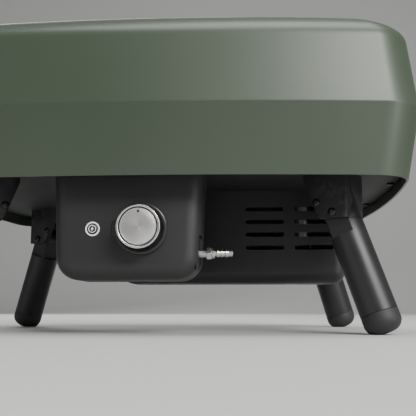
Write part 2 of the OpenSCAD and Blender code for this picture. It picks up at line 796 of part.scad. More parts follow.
module igniter_battery() {
    color([0.5, 0.5, 0.52]) rod_y(igniter_x, module_y, knob_z - 23, 7.2, 30);
}

module inlet_plate() {
    color(black) difference() {
        translate([plate_x - inlet_plate_t, inlet_y - inlet_plate_w / 2, inlet_z - inlet_plate_h / 2])
            cube([inlet_plate_t, inlet_plate_w, inlet_plate_h]);
        rod_x(plate_x - 5, inlet_y, inlet_z, pipe_dia / 2 + 0.1, 8);
    }
}

module inlet_pipe() {
    color(brass) difference() {
        run([[nut_x - 0.1, inlet_y, inlet_z], [knob_x, inlet_y, inlet_z], [knob_x, inlet_y, knob_z - valve_r + 2]],
            pipe_dia / 2);
        rod_y(knob_x, valve_y - 20, knob_z, valve_r + 0.1, valve_len + 40);
    }
}

inlet_neck = 7.5;
nut_x = plate_x + inlet_neck;
inlet_nut_t = 5;
inlet_nut_r = 6.5;

module inlet_nut() {
    color(steel) difference() {
        translate([nut_x, inlet_y, inlet_z]) rotate([0, 90, 0]) cylinder(r = inlet_nut_r, h = inlet_nut_t, $fn = 6);
        rod_x(nut_x - over, inlet_y, inlet_z, barb_dia / 2 - 1 + fit, inlet_nut_t + 2 * over);
    }
}

module hose_barb() {
    r = barb_dia / 2;
    x0 = nut_x + inlet_nut_t;
    ridge = barb_len / 5;
    color(steel) difference() {
        union() {
            rod_x(nut_x + 0.2, inlet_y, inlet_z, r - 1, inlet_nut_t + barb_len - 0.2);
            rod_x(x0 + gap, inlet_y, inlet_z, r + 1, 3);
            for (k = [1:3]) translate([x0 + 1 + k * ridge, inlet_y, inlet_z]) rotate([0, 90, 0])
                cylinder(r1 = r, r2 = r - 1, h = ridge - 0.6);
            rod_x(x0 + 0.4 + 4 * ridge, inlet_y, inlet_z, r - 0.8, barb_len - 0.4 - 4 * ridge);
        }
        rod_x(nut_x - over, inlet_y, inlet_z, r / 2, barb_len + inlet_nut_t + 2 * over);
    }
}

// ---------- legs ----------

// Puts its children at a leg's pivot, with +X turned to the splay of the corner s.
module at_leg(s) {
    translate([s[0] * pivot_x, s[1] * pivot_y, pivot_z])
        rotate([0, 0, atan2(s[1] * sin(splay_dir), s[0] * cos(splay_dir))]) children();
}

module cross_rod(x, z, r, len) {
    translate([x, len / 2, z]) rotate([90, 0, 0]) cylinder(r = r, h = len);
}

bracket_screw_x = [-22, 5];
slot_half = tongue_t / 2 + gap;

module leg_bracket(s) {
    color(black) at_leg(s) difference() {
        union() {
            translate([0, bracket_w / 2, 0]) rotate([90, 0, 0]) linear_extrude(bracket_w)
                polygon([[-13.7, stop_z], [-18, 0], [-32, pivot_drop - 5], [-32, pivot_drop],
                    [bracket_out, pivot_drop], [bracket_out, stop_z]]);
            intersection() {
                rotate([0, -splay, 0]) translate([0, 0, -60]) cylinder(r = leg_dia / 2, h = 120);
                translate([0, -bracket_w / 2, stop_z]) cube([60, bracket_w, pivot_drop - stop_z]);
            }
        }
        cross_rod(0, 0, eye_r + gap, 2 * slot_half);
        translate([-60, -slot_half, -40]) cube([60 + eye_r + gap, 2 * slot_half, 40]);
        translate([-60, -slot_half, -1]) cube([60, 2 * slot_half, eye_r + gap + 1]);
        translate([-60, -slot_half, -1]) cube([60 - 13, 2 * slot_half, leg_dia / 2 + 2.5]);
        cross_rod(0, 0, bore_r, bracket_w + 2 * over);
        for (y = [-1, 1]) translate([upper_bolt[0], y * bracket_w / 2, upper_bolt[1]]) rotate([90, 0, 0])
            cylinder(r = bolt_dia / 2 + fit, h = 2 * bolt_len + 1, center = true);
        for (x = bracket_screw_x) translate([x, 0, pivot_drop - 9]) cylinder(r = 2.6, h = 10);
    }
}

module leg(s) {
    r = leg_dia / 2;
    color(dark_leg) at_leg(s) difference() {
        union() {
            rotate([0, -splay, 0]) translate([0, 0, -foot_top]) cylinder(r = r, h = foot_top - full_from);
            intersection() {
                rotate([0, -splay, 0]) translate([0, 0, -full_from - 1]) cylinder(r = r, h = full_from + 20);
                translate([-30, -tongue_t / 2, -60]) cube([90, tongue_t, 60 + stop_z - gap]);
                rotate([0, -splay, 0]) translate([-eye_r, -30, -40]) cube([60, 60, 60]);
            }
            cross_rod(0, 0, eye_r, tongue_t);
        }
        rotate([0, -splay, 0]) translate([0, 0, -foot_top - over])
            cylinder(r = r - leg_t, h = foot_top + over - full_from - 6);
        cross_rod(0, 0, bore_r, leg_dia);
    }
}

module foot(s) {
    r = leg_dia / 2;
    plug = 10;
    color([0.05, 0.05, 0.05]) intersection() {
        at_leg(s) rotate([0, -splay, 0]) translate([0, 0, -leg_end]) union() {
            rotate_extrude() polygon(concat([[0, 0]], [for (a = [0:15:90])
                [r - foot_r + foot_r * sin(a), foot_r * (1 - cos(a))]], [[r, foot_len - 0.05], [0, foot_len - 0.05]]));
            translate([0, 0, foot_len - 1]) cylinder(r = r - leg_t - gap, h = plug);
        }
        translate([-body_w, -body_d, 0]) cube([2 * body_w, 2 * body_d, body_h]);
    }
}

module pivot_bolts() {
    color(steel) for (s = corners) at_leg(s) {
        cross_rod(0, 0, pivot_dia / 2, bracket_w + 0.2);
        for (y = [-1, 1]) translate([0, y * (bracket_w / 2 + 0.1), 0]) rotate([-90 * y, 0, 0])
            cylinder(r = head_r, h = head_t);
    }
}

module bracket_bolts() {
    color(steel) for (s = corners, y = [-1, 1]) at_leg(s)
        translate([upper_bolt[0], y * (bracket_w / 2 + 0.1), upper_bolt[1]]) rotate([-90 * y, 0, 0]) {
            cylinder(r = head_r, h = head_t);
            translate([0, 0, -bolt_len]) cylinder(r = bolt_dia / 2, h = bolt_len + 1);
        }
}

module bracket_screws() {
    color(steel) for (s = corners) at_leg(s) for (x = bracket_screw_x) translate([x, 0, 0]) {
        translate([0, 0, pivot_drop - 8]) cylinder(r = 2.5, h = 8 + pan_t + 1);
        translate([0, 0, pivot_drop + pan_t + 0.1]) cylinder(r = 4.5, h = 3);
    }
}

outer_shell();
base_pan();
insulation();
chamber_liner();
mouth_frame();
stone_rails();
baking_stone();
burner_tube();
burner_guard();
burner_riser();
venturi_tube();
air_shutter();
gas_injector();
manifold_pipe();
spark_electrode();
spark_lead();
thermocouple();
thermocouple_lead();
burner_housing();
housing_cleats();
housing_screws();
control_box();
control_backplate();
backplate_screws();
gas_valve();
panel_nut();
valve_spring();
push_collar();
valve_stem();
knob_bezel();
knob_skirt();
knob_rim();
knob_face();
knob_pointer();
igniter_ring();
igniter_button();
igniter_module();
igniter_battery();
inlet_plate();
inlet_pipe();
inlet_nut();
hose_barb();
pan_screws();
bracket_screws();
leg_bracket([1, 1]);  // leg_bracket_fl
leg_bracket([-1, 1]);  // leg_bracket_fr
leg_bracket([1, -1]);  // leg_bracket_rl
leg_bracket([-1, -1]);  // leg_bracket_rr
pivot_bolts();
bracket_bolts();
leg([1, 1]);  // leg_fl
leg([-1, 1]);  // leg_fr
leg([1, -1]);  // leg_rl
leg([-1, -1]);  // leg_rr
foot([1, 1]);  // foot_fl
foot([-1, 1]);  // foot_fr
foot([1, -1]);  // foot_rl
foot([-1, -1]);  // foot_rr
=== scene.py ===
import math

import bmesh
import bpy
from mathutils import Matrix, Vector


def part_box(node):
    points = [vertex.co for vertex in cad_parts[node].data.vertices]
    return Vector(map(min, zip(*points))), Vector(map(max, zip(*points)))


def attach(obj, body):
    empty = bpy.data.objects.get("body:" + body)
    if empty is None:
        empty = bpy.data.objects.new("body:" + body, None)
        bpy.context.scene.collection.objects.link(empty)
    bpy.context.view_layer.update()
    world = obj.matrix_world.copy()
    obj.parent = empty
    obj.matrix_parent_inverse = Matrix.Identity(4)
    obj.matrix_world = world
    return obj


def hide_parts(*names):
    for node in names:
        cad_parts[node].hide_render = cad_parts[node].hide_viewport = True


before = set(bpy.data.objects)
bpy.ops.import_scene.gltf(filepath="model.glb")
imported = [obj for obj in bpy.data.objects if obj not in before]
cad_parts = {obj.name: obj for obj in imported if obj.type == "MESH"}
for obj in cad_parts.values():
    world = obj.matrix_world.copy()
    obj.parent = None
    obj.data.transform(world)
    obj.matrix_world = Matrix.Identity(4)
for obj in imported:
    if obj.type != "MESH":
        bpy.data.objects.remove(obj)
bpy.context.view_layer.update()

# ---------------------------------------------------------------------------------------------------------
# Camera, floor and lights.
# The camera stands low and close on the control side, a little to the right of the middle, and looks up.
# A pale sweep carries the oven, and five soft lights surround it: one for the front, one to fill its shade,
# one above, one for the right side and one for the mouth at the back.
# ---------------------------------------------------------------------------------------------------------
MM = 0.001
CAMERA_PLACE = (0.088, -0.8537, 0.0255)
CAMERA_LENS, CAMERA_PITCH, CAMERA_TURN = 60.6, 8.16, 2.95

camera_data = bpy.data.cameras.new("camera")
camera_data.sensor_width = 36.0
camera_data.lens = CAMERA_LENS
camera = bpy.data.objects.new("camera", camera_data)
camera.location = CAMERA_PLACE
camera.rotation_euler = (math.radians(90 + CAMERA_PITCH), 0.0, math.radians(CAMERA_TURN))
bpy.context.scene.collection.objects.link(camera)
bpy.context.scene.camera = camera


def soft_light(name, place, target, size, power, tint):
    """A rectangular lamp that points at the target and doesn't show in the picture."""
    data = bpy.data.lights.new(name, "AREA")
    data.shape = "RECTANGLE"
    data.size, data.size_y = size
    data.energy = power
    data.color = tint
    lamp = bpy.data.objects.new(name, data)
    lamp.location = place
    lamp.rotation_euler = (Vector(target) - Vector(place)).to_track_quat("-Z", "Y").to_euler()
    lamp.visible_camera = False
    bpy.context.scene.collection.objects.link(lamp)


soft_light("key", (1.5, -2.3, 1.75), (0.1, 0.0, 0.25), (1.5, 0.9), 92.0, (1.0, 0.99, 0.97))
soft_light("fill", (-1.9, -1.5, 0.7), (0.0, 0.0, 0.12), (1.5, 1.2), 4.0, (0.97, 0.98, 1.0))
soft_light("top", (0.3, -0.5, 2.4), (0.0, 0.0, 0.2), (2.0, 1.6), 52.0, (1.0, 1.0, 1.0))
soft_light("side", (1.6, -1.1, 0.5), (0.15, -0.1, 0.1), (0.5, 0.9), 9.0, (1.0, 1.0, 1.0))
soft_light("mouth", (-0.7, 2.1, 1.3), (0.0, 0.1, 0.2), (1.6, 1.0), 30.0, (1.0, 0.99, 0.97))

world = bpy.data.worlds.new("studio")
world.use_nodes = True
world.node_tree.nodes["Background"].inputs["Color"].default_value = (0.86, 0.87, 0.88, 1.0)
world.node_tree.nodes["Background"].inputs["Strength"].default_value = 0.22
bpy.context.scene.world = world


def new_material(name):
    material = bpy.data.materials.new(name)
    material.use_nodes = True
    nodes = material.node_tree.nodes
    return material, nodes, material.node_tree.links, nodes["Principled BSDF"]


def verts_of(geom):
    """The vertices among what an extrusion made."""
    return [g for g in geom if isinstance(g, bmesh.types.BMVert)]


def add_object(mesh, name, material):
    piece = bpy.data.objects.new(name, mesh)
    bpy.context.scene.collection.objects.link(piece)
    mesh.materials.clear()
    mesh.materials.append(material)
    return piece


floor_paint, nodes, links, shader = new_material("floor_paint")
shader.inputs["Roughness"].default_value = 0.75
speckle = nodes.new("ShaderNodeTexNoise")
speckle.inputs["Scale"].default_value = 6.0
tone = nodes.new("ShaderNodeMix")
tone.data_type = "RGBA"
tone.inputs["A"].default_value = (0.50, 0.50, 0.495, 1.0)
tone.inputs["B"].default_value = (0.54, 0.54, 0.535, 1.0)
links.new(speckle.outputs["Fac"], tone.inputs["Factor"])
links.new(tone.outputs["Result"], shader.inputs["Base Color"])

SWEEP_HALF = 9.0
SWEEP_BACK = 2.6
SWEEP_RADIUS = 0.8
SWEEP_TOP = 3.5
bm = bmesh.new()
bm.verts.new((-SWEEP_HALF, -SWEEP_HALF, 0.0))
bm.verts.new((SWEEP_HALF, -SWEEP_HALF, 0.0))
front_edge = bm.edges.new(bm.verts[:])
path = [(SWEEP_BACK, 0.0)]
path += [(SWEEP_BACK + SWEEP_RADIUS * math.sin(math.radians(a)),
          SWEEP_RADIUS * (1 - math.cos(math.radians(a)))) for a in range(10, 91, 10)]
path += [(SWEEP_BACK + SWEEP_RADIUS, SWEEP_TOP)]
last, here = [front_edge], Vector((0.0, -SWEEP_HALF, 0.0))
for y, z in path:
    grown = bmesh.ops.extrude_edge_only(bm, edges=last)["geom"]
    there = Vector((0.0, y, z))
    bmesh.ops.translate(bm, verts=verts_of(grown), vec=there - here)
    last = [g for g in grown
            if isinstance(g, bmesh.types.BMEdge) and g.is_boundary and all(v in grown for v in g.verts)]
    here = there
bmesh.ops.recalc_face_normals(bm, faces=bm.faces[:])
sweep_mesh = bpy.data.meshes.new("studio_floor")
bm.to_mesh(sweep_mesh)
bm.free()
for polygon in sweep_mesh.polygons:
    polygon.use_smooth = True
studio_floor = add_object(sweep_mesh, "studio_floor", floor_paint)

# ---------------------------------------------------------------------------------------------------------
# Outer shell.
# Two deep-drawn steel bands meet at the belt crease: the lower one tapers in to the lip, the upper one leans
# back and rolls over into the roof. It is powder coated in a satin green with a fine orange peel.
# ---------------------------------------------------------------------------------------------------------
shell_low, shell_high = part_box("outer_shell")
HALF_W, HALF_D = shell_high.x, shell_high.y
LIP_Z, ROOF_Z = shell_low.z, shell_high.z
BELT_Z = 0.217
LIP_INSET, LEAN_INSET, ROOF_INSET = 0.011, 0.008, 0.110
ROOF_RISE, CROWN_RISE = 0.047, 0.004
SIDE_BOW, CORNER_R, SHELL_T = 0.014, 0.034, 0.002
CORNER_FADE = 0.4
BELT_SOFT = 0.0007
CORNER_STEPS, SIDE_STEPS = 16, 12


def group_socket(tree, name, side, kind, value=None):
    socket = tree.interface.new_socket(name=name, in_out=side, socket_type=kind)
    if value is not None:
        socket.default_value = value
    return socket


def wire(tree, source, target):
    tree.links.new(source, target)


def noise_node(tree, coords, scale, detail=4.0, rough=0.55):
    node = tree.nodes.new("ShaderNodeTexNoise")
    node.inputs["Detail"].default_value = detail
    node.inputs["Roughness"].default_value = rough
    wire(tree, coords, node.inputs["Vector"])
    if isinstance(scale, float):
        node.inputs["Scale"].default_value = scale
    else:
        wire(tree, scale, node.inputs["Scale"])
    return node.outputs["Fac"]


def math_node(tree, operation, a, b=None):
    node = tree.nodes.new("ShaderNodeMath")
    node.operation = operation
    for socket, value in zip(node.inputs, (a, b)):
        if value is None:
            continue
        if isinstance(value, (int, float)):
            socket.default_value = value
        else:
            wire(tree, value, socket)
    return node.outputs[0]


def map_range(tree, value, low, high, out_low=0.0, out_high=1.0):
    node = tree.nodes.new("ShaderNodeMapRange")
    node.clamp = True
    wire(tree, value, node.inputs["Value"])
    for name, number in (("From Min", low), ("From Max", high), ("To Min", out_low), ("To Max", out_high)):
        node.inputs[name].default_value = number
    return node.outputs["Result"]


# A coated or moulded skin: fine grain for the bump, a slow drift of tone, thin dust, and rubbed edges.
coat_skin = bpy.data.node_groups.new("coat_skin", "ShaderNodeTree")
group_socket(coat_skin, "Grain Scale", "INPUT", "NodeSocketFloat", 900.0)
group_socket(coat_skin, "Drift Scale", "INPUT", "NodeSocketFloat", 9.0)
for output in ("Grain", "Drift", "Dust", "Rub"):
    group_socket(coat_skin, output, "OUTPUT", "NodeSocketFloat")
inside = coat_skin.nodes.new("NodeGroupInput")
outside = coat_skin.nodes.new("NodeGroupOutput")
place = coat_skin.nodes.new("ShaderNodeTexCoord").outputs["Object"]
peel = noise_node(coat_skin, place, inside.outputs["Grain Scale"], 3.0, 0.6)
drift = noise_node(coat_skin, place, inside.outputs["Drift Scale"], 3.0)
specks = noise_node(coat_skin, place, 310.0, 2.0)
surface = coat_skin.nodes.new("ShaderNodeNewGeometry")
edges_only = map_range(coat_skin, surface.outputs["Pointiness"], 0.515, 0.56)
worn_spots = map_range(coat_skin, noise_node(coat_skin, place, 60.0, 5.0, 0.7), 0.5, 0.62)
up = coat_skin.nodes.new("ShaderNodeSeparateXYZ")
wire(coat_skin, surface.outputs["Normal"], up.inputs[0])
facing_up = map_range(coat_skin, up.outputs["Z"], 0.35, 0.95)
wire(coat_skin, peel, outside.inputs["Grain"])
wire(coat_skin, drift, outside.inputs["Drift"])
wire(coat_skin, math_node(coat_skin, "MULTIPLY", map_range(coat_skin, specks, 0.48, 0.75), facing_up),
     outside.inputs["Dust"])
wire(coat_skin, math_node(coat_skin, "MULTIPLY", edges_only, worn_spots), outside.inputs["Rub"])


def mix_colour(tree, factor, a, b):
    node = tree.nodes.new("ShaderNodeMix")
    node.data_type = "RGBA"
    wire(tree, factor, node.inputs["Factor"])
    for name, value in (("A", a), ("B", b)):
        if isinstance(value, tuple):
            node.inputs[name].default_value = (*value, 1.0)
        else:
            wire(tree, value, node.inputs[name])
    return node.outputs["Result"]


def bump_node(tree, height, distance, strength=1.0):
    node = tree.nodes.new("ShaderNodeBump")
    node.inputs["Distance"].default_value = distance
    node.inputs["Strength"].default_value = strength
    wire(tree, height, node.inputs["Height"])
    return node.outputs["Normal"]


def coated(name, dark, light, rub_tone, rough, grain, depth, metallic=0.0, coat=0.0, rub=0.0, drift=9.0):
    """A skin made of the coat_skin group: two close tones, dust on top faces and rubbed edges."""
    material, nodes, links, shader = new_material(name)
    tree = material.node_tree
    skin = nodes.new("ShaderNodeGroup")
    skin.node_tree = coat_skin
    skin.inputs["Grain Scale"].default_value = grain
    skin.inputs["Drift Scale"].default_value = drift
    tone = mix_colour(tree, map_range(tree, skin.outputs["Drift"], 0.35, 0.65), dark, light)
    dust = tuple(0.5 * c + 0.22 for c in light)
    tone = mix_colour(tree, math_node(tree, "MULTIPLY", skin.outputs["Dust"], 0.10), tone, dust)
    if rub:
        tone = mix_colour(tree, math_node(tree, "MULTIPLY", skin.outputs["Rub"], rub), tone, rub_tone)
    links.new(tone, shader.inputs["Base Color"])
    links.new(map_range(tree, skin.outputs["Drift"], 0.3, 0.7, rough - 0.04, rough + 0.04),
              shader.inputs["Roughness"])
    links.new(bump_node(tree, skin.outputs["Grain"], depth, 0.6), shader.inputs["Normal"])
    shader.inputs["Metallic"].default_value = metallic
    shader.inputs["Coat Weight"].default_value = coat
    shader.inputs["Coat Roughness"].default_value = 0.28
    return material


green_coat = coated("green_powder_coat", (0.039, 0.057, 0.035), (0.044, 0.063, 0.039), (0.13, 0.16, 0.12),
                    0.42, 1500.0, 0.00010, coat=0.2, drift=3.0)


def sharpen(bm, angle=32.0):
    """Smooth shading everywhere except over edges that turn by more than angle, in degrees."""
    for face in bm.faces:
        face.smooth = True
    for edge in bm.edges:
        turned = edge.calc_face_angle(math.pi) if len(edge.link_faces) == 2 else math.pi
        edge.smooth = turned < math.radians(angle)


def built(bm, name, material, body, slot, *nodes, angle=32.0, crisp_z=None):
    """Makes the finished piece from a bmesh: its body, its material and the CAD nodes it stands for. The
    slot argument is not used.

    Edges at the height crisp_z stay sharp, so that a small bevel there keeps its two highlights apart.
    """
    sharpen(bm, angle)
    for edge in bm.edges:
        if crisp_z and all(abs(v.co.z - crisp_z) < 2 * BELT_SOFT for v in edge.verts):
            edge.smooth = False
    mesh = bpy.data.meshes.new(name)
    bm.to_mesh(mesh)
    bm.free()
    piece = add_object(mesh, name, material)
    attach(piece, body)
    if nodes:
        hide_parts(*nodes)
    return piece


def outwards(shape):
    """Turns every face of a bmesh to the outside."""
    bmesh.ops.recalc_face_normals(shape, faces=shape.faces[:])


def soften(shape, edges, radius, segments):
    """Rounds some edges of a bmesh, or breaks them when the radius is small."""
    bmesh.ops.bevel(shape, geom=edges, offset=radius, segments=segments, profile=0.5, affect="EDGES",
                    material=-1)


def carve(bm, cutter, operation="DIFFERENCE"):
    """The bmesh cut by another, as a new bmesh. Both are used up."""
    meshes = []
    for shape in (bm, cutter):
        outwards(shape)
        mesh = bpy.data.meshes.new("carving")
        shape.to_mesh(mesh)
        shape.free()
        meshes.append(mesh)
    objects = [bpy.data.objects.new("carving", m) for m in meshes]
    for item in objects:
        bpy.context.scene.collection.objects.link(item)
    cut = objects[0].modifiers.new("cut", "BOOLEAN")
    cut.object = objects[1]
    cut.operation = operation
    cut.solver = "EXACT"
    done = objects[0].evaluated_get(bpy.context.evaluated_depsgraph_get())
    out = bmesh.new()
    out.from_mesh(done.to_mesh())
    for item in objects:
        bpy.data.objects.remove(item)
    for mesh in meshes:
        bpy.data.meshes.remove(mesh)
    return out


def body_outline(inset):
    """The body's plan outline, inset from the belt: corner arcs joined by sides that bow out."""
    a, b = HALF_W - SIDE_BOW - inset, HALF_D - SIDE_BOW - inset
    r = min(0.9 * a, 0.9 * b, CORNER_R * (1 - inset / CORNER_FADE))
    centres = [(a - r, b - r), (r - a, b - r), (r - a, r - b), (a - r, r - b)]
    arcs = [[Vector(c) + r * Vector((math.cos(t), math.sin(t)))
             for t in (math.radians(90 * (q + k / CORNER_STEPS)) for k in range(CORNER_STEPS + 1))]
            for q, c in enumerate(centres)]
    raw = []
    for q in range(4):
        raw += arcs[q]
        raw += [arcs[q][-1].lerp(arcs[(q + 1) % 4][0], k / SIDE_STEPS) for k in range(1, SIDE_STEPS)]
    return [Vector((p.x * (1 + SIDE_BOW / a * (1 - (p.y / b) ** 2)),
                    p.y * (1 + SIDE_BOW / b * (1 - (p.x / a) ** 2)))) for p in raw]


def ring_walls(bm, levels):
    """Walls that climb through (inset, height) levels of the body's outline. Returns the last ring."""
    first = body_outline(levels[0][0])
    ring = bmesh.ops.create_circle(bm, cap_ends=False, segments=len(first), radius=1.0)["verts"]
    for vert, p in zip(ring, first):
        vert.co = (p.x, p.y, levels[0][1])
    for inset, z in levels[1:]:
        edges = [e for v in ring for e in v.link_edges if e.other_vert(v) in ring]
        grown = bmesh.ops.extrude_edge_only(bm, edges=list(dict.fromkeys(edges)))["geom"]
        fresh = set(verts_of(grown))
        above = [next(e.other_vert(v) for e in v.link_edges if e.other_vert(v) in fresh) for v in ring]
        for vert, p in zip(above, body_outline(inset)):
            vert.co = (p.x, p.y, z)
        ring = above
    return ring


shoulder_z = ROOF_Z - ROOF_RISE
levels = [(LIP_INSET, LIP_Z), (0.0, BELT_Z), (LEAN_INSET, shoulder_z)]
ROOF_STEPS = 20
for k in range(1, ROOF_STEPS + 1):
    t = math.radians(90 * k / ROOF_STEPS)
    levels.append((LEAN_INSET + ROOF_INSET * (1 - math.cos(t)),
                   shoulder_z + (ROOF_RISE - CROWN_RISE) * math.sin(t)))
for k in (1, 2, 3):
    levels.append((LEAN_INSET + ROOF_INSET * (1 + 0.2 * k), ROOF_Z - CROWN_RISE * (1 - k / 3)))

bm = bmesh.new()
top_ring = ring_walls(bm, levels)
cap = bm.faces.new(top_ring)
bmesh.ops.poke(bm, faces=[cap])
bmesh.ops.remove_doubles(bm, verts=bm.verts[:], dist=1e-6)
outwards(bm)
belt_edges = [e for e in bm.edges if all(abs(v.co.z - BELT_Z) < 1e-5 for v in e.verts)]
soften(bm, belt_edges, BELT_SOFT, 2)
outwards(bm)
bmesh.ops.solidify(bm, geom=bm.faces[:], thickness=SHELL_T)


def slab(x0, x1, y0, y1, z0, z1):
    """A box between two corners."""
    shape = bmesh.new()
    bmesh.ops.create_cube(shape, size=1.0)
    bmesh.ops.scale(shape, vec=(x1 - x0, y1 - y0, z1 - z0), verts=shape.verts[:])
    bmesh.ops.translate(shape, vec=((x0 + x1) / 2, (y0 + y1) / 2, (z0 + z1) / 2), verts=shape.verts[:])
    return shape


def round_along(shape, axis, radius, segments=8):
    """Rounds the edges of a box that run along one axis, 0 for X, 1 for Y, 2 for Z."""
    edges = [e for e in shape.edges
             if abs((e.verts[1].co - e.verts[0].co).normalized()[axis]) > 0.99]
    soften(shape, edges, radius, segments)
    return shape


mouth_low, mouth_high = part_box("mouth_frame")
MOUTH_R = 0.010
MOUTH_T = 0.003
MOUTH_GAP = 0.0003
MOUTH_CUT_PAST = 0.05
mouth_hole = slab(mouth_low.x - MOUTH_GAP, mouth_high.x + MOUTH_GAP, 0.0, HALF_D + MOUTH_CUT_PAST,
                  mouth_low.z - MOUTH_GAP, mouth_high.z + MOUTH_GAP)
round_along(mouth_hole, 1, MOUTH_R + MOUTH_T)
bm = carve(bm, mouth_hole)
built(bm, "outer_shell_skin", green_coat, "oven", "green_coat", "outer_shell", angle=28.0, crisp_z=BELT_Z)

# ---------------------------------------------------------------------------------------------------------
# Base pan and its screws.
# A flat steel tray under the oven, coated matte black, screwed up against the ledge inside the shell's lip.
# The leg brackets and the burner housing hang from it.
# ---------------------------------------------------------------------------------------------------------
black_coat = coated("black_powder_coat", (0.015, 0.015, 0.0155), (0.018, 0.018, 0.0185), (0.05, 0.05, 0.05),
                    0.44, 1900.0, 0.0001)
black_screw = coated("blackened_screw", (0.02, 0.02, 0.021), (0.03, 0.03, 0.031), (0.16, 0.15, 0.14),
                     0.34, 2400.0, 0.00005, metallic=0.8)


def finish_cad(material, *names):
    """Gives CAD pieces that keep their shape the finish of their real material."""
    for name in names:
        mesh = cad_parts[name].data
        mesh.materials.clear()
        mesh.materials.append(material)


pan_coat = coated("matte_black_pan", (0.010, 0.010, 0.0105), (0.013, 0.013, 0.0135), (0.04, 0.04, 0.04),
                  0.68, 1500.0, 0.00012)
finish_cad(pan_coat, "base_pan")
finish_cad(black_screw, "pan_screws", "bracket_screws", "backplate_screws", "housing_screws")

# ---------------------------------------------------------------------------------------------------------
# Control box.
# A moulded black cover with big soft corners, screwed under the pan. It holds the gas valve and the igniter,
# and its right wall has a recess for the gas inlet.
# ---------------------------------------------------------------------------------------------------------
box_low, box_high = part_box("control_box")
BOX_R, BOX_EDGE_R, BOX_T = 0.022, 0.015, 0.0025
BOX_LEAN_LEFT, BOX_LEAN_RIGHT = 0.004, 0.005
KNOB = Vector((-0.0115, box_low.y, 0.102))
IGNITER_X = -0.059
INLET = Vector((box_high.x, box_low.y + 0.023, 0.0795))
PLATE_W, PLATE_H = 0.030, 0.034
PLATE_CUT_IN, PLATE_CUT_OUT = 0.008, 0.004
STEM_HOLE_R, CAP_HOLE_R, HOLE_REACH = 8, 5.2, 8

box_plastic = coated("black_textured_plastic", (0.017, 0.017, 0.0174), (0.020, 0.020, 0.0205),
                     (0.045, 0.045, 0.045), 0.46, 2600.0, 0.00014)


def lathe(profile, steps=72, closed=True):
    """A piece turned about Z from (radius, height) points in millimetres."""
    shape = bmesh.new()
    verts = [shape.verts.new((r * MM, 0.0, h * MM)) for r, h in profile]
    edges = [shape.edges.new(pair) for pair in zip(verts, verts[1:])]
    if closed:
        edges.append(shape.edges.new((verts[-1], verts[0])))
    bmesh.ops.spin(shape, geom=verts + edges, cent=(0, 0, 0), axis=(0, 0, 1), angle=math.tau, steps=steps,
                   use_merge=True)
    bmesh.ops.remove_doubles(shape, verts=shape.verts[:], dist=2e-6)
    loose = [e for e in shape.edges if not e.link_faces]
    bmesh.ops.delete(shape, geom=loose, context="EDGES")
    outwards(shape)
    return shape


def rod(radius, low, high, steps=72):
    """A plain cylinder along Z, in millimetres."""
    return lathe([(0, low), (radius, low), (radius, high), (0, high)], steps, closed=False)


def moved(shape, matrix):
    bmesh.ops.transform(shape, matrix=matrix, verts=shape.verts[:])
    return shape


def out_of_front(x, y, z):
    """Turns a lathed piece to point at the user, -Y, with its base at the given place."""
    return Matrix.Translation((x, y, z)) @ Matrix.Rotation(math.radians(90), 4, "X")


def out_of_side(x, y, z):
    """Turns a lathed piece to point to the right, +X."""
    return Matrix.Translation((x, y, z)) @ Matrix.Rotation(math.radians(90), 4, "Y")


def merged(*shapes):
    """Several loose shapes in one bmesh."""
    out = bmesh.new()
    for shape in shapes:
        mesh = bpy.data.meshes.new("merging")
        shape.to_mesh(mesh)
        shape.free()
        out.from_mesh(mesh)
        bpy.data.meshes.remove(mesh)
    return out


def thicken(shape, wall):
    """Gives an open shape, whose lowest face has to point down, a wall of even thickness."""
    lowest = min(shape.faces, key=lambda f: f.calc_center_median().z)
    if lowest.normal.z > 0:
        bmesh.ops.reverse_faces(shape, faces=shape.faces[:])
    bmesh.ops.solidify(shape, geom=shape.faces[:], thickness=wall)


def open_moulding(x0, x1, y0, y1, z0, z1, low_r, edge_r, wall):
    """A box open at the top and the back, with soft lower corners and a wall of even thickness."""
    shape = slab(x0, x1, y0, y1, z0, z1)
    for vert in shape.verts:
        if vert.co.z < (z0 + z1) / 2:
            vert.co.x += BOX_LEAN_LEFT if vert.co.x < (x0 + x1) / 2 else -BOX_LEAN_RIGHT
    low_sides = [e for e in shape.edges if all(v.co.z < z0 + 1e-5 for v in e.verts)
                 and abs(e.verts[0].co.y - e.verts[1].co.y) > 1e-4]
    soften(shape, low_sides, low_r, 10)
    rim = [e for e in shape.edges
           if all(v.co.y < y0 + 1e-5 for v in e.verts) and not all(v.co.z > z1 - 1e-5 for v in e.verts)]
    soften(shape, rim, edge_r, 8)
    away = [f for f in shape.faces if (f.normal.z > 0.99 and f.calc_center_median().z > z1 - 1e-4)
            or (f.normal.y > 0.99 and f.calc_center_median().y > y1 - 1e-4)]
    bmesh.ops.delete(shape, geom=away, context="FACES")
    outwards(shape)
    thicken(shape, wall)
    return shape


bm = open_moulding(box_low.x, box_high.x, box_low.y, box_high.y, box_low.z, box_high.z,
                   BOX_R, BOX_EDGE_R, BOX_T)
holes = merged(moved(rod(STEM_HOLE_R, -HOLE_REACH, HOLE_REACH), out_of_front(*KNOB)),
               moved(rod(CAP_HOLE_R, -HOLE_REACH, HOLE_REACH), out_of_front(IGNITER_X, KNOB.y, KNOB.z)),
               slab(INLET.x - PLATE_CUT_IN, INLET.x + PLATE_CUT_OUT, INLET.y - PLATE_W / 2,
                    INLET.y + PLATE_W / 2, INLET.z - PLATE_H / 2, INLET.z + PLATE_H / 2))
bm = carve(bm, holes)
built(bm, "control_box_cover", box_plastic, "oven", "box_plastic", "control_box", angle=25.0)
finish_cad(black_coat, "control_backplate", "inlet_plate")

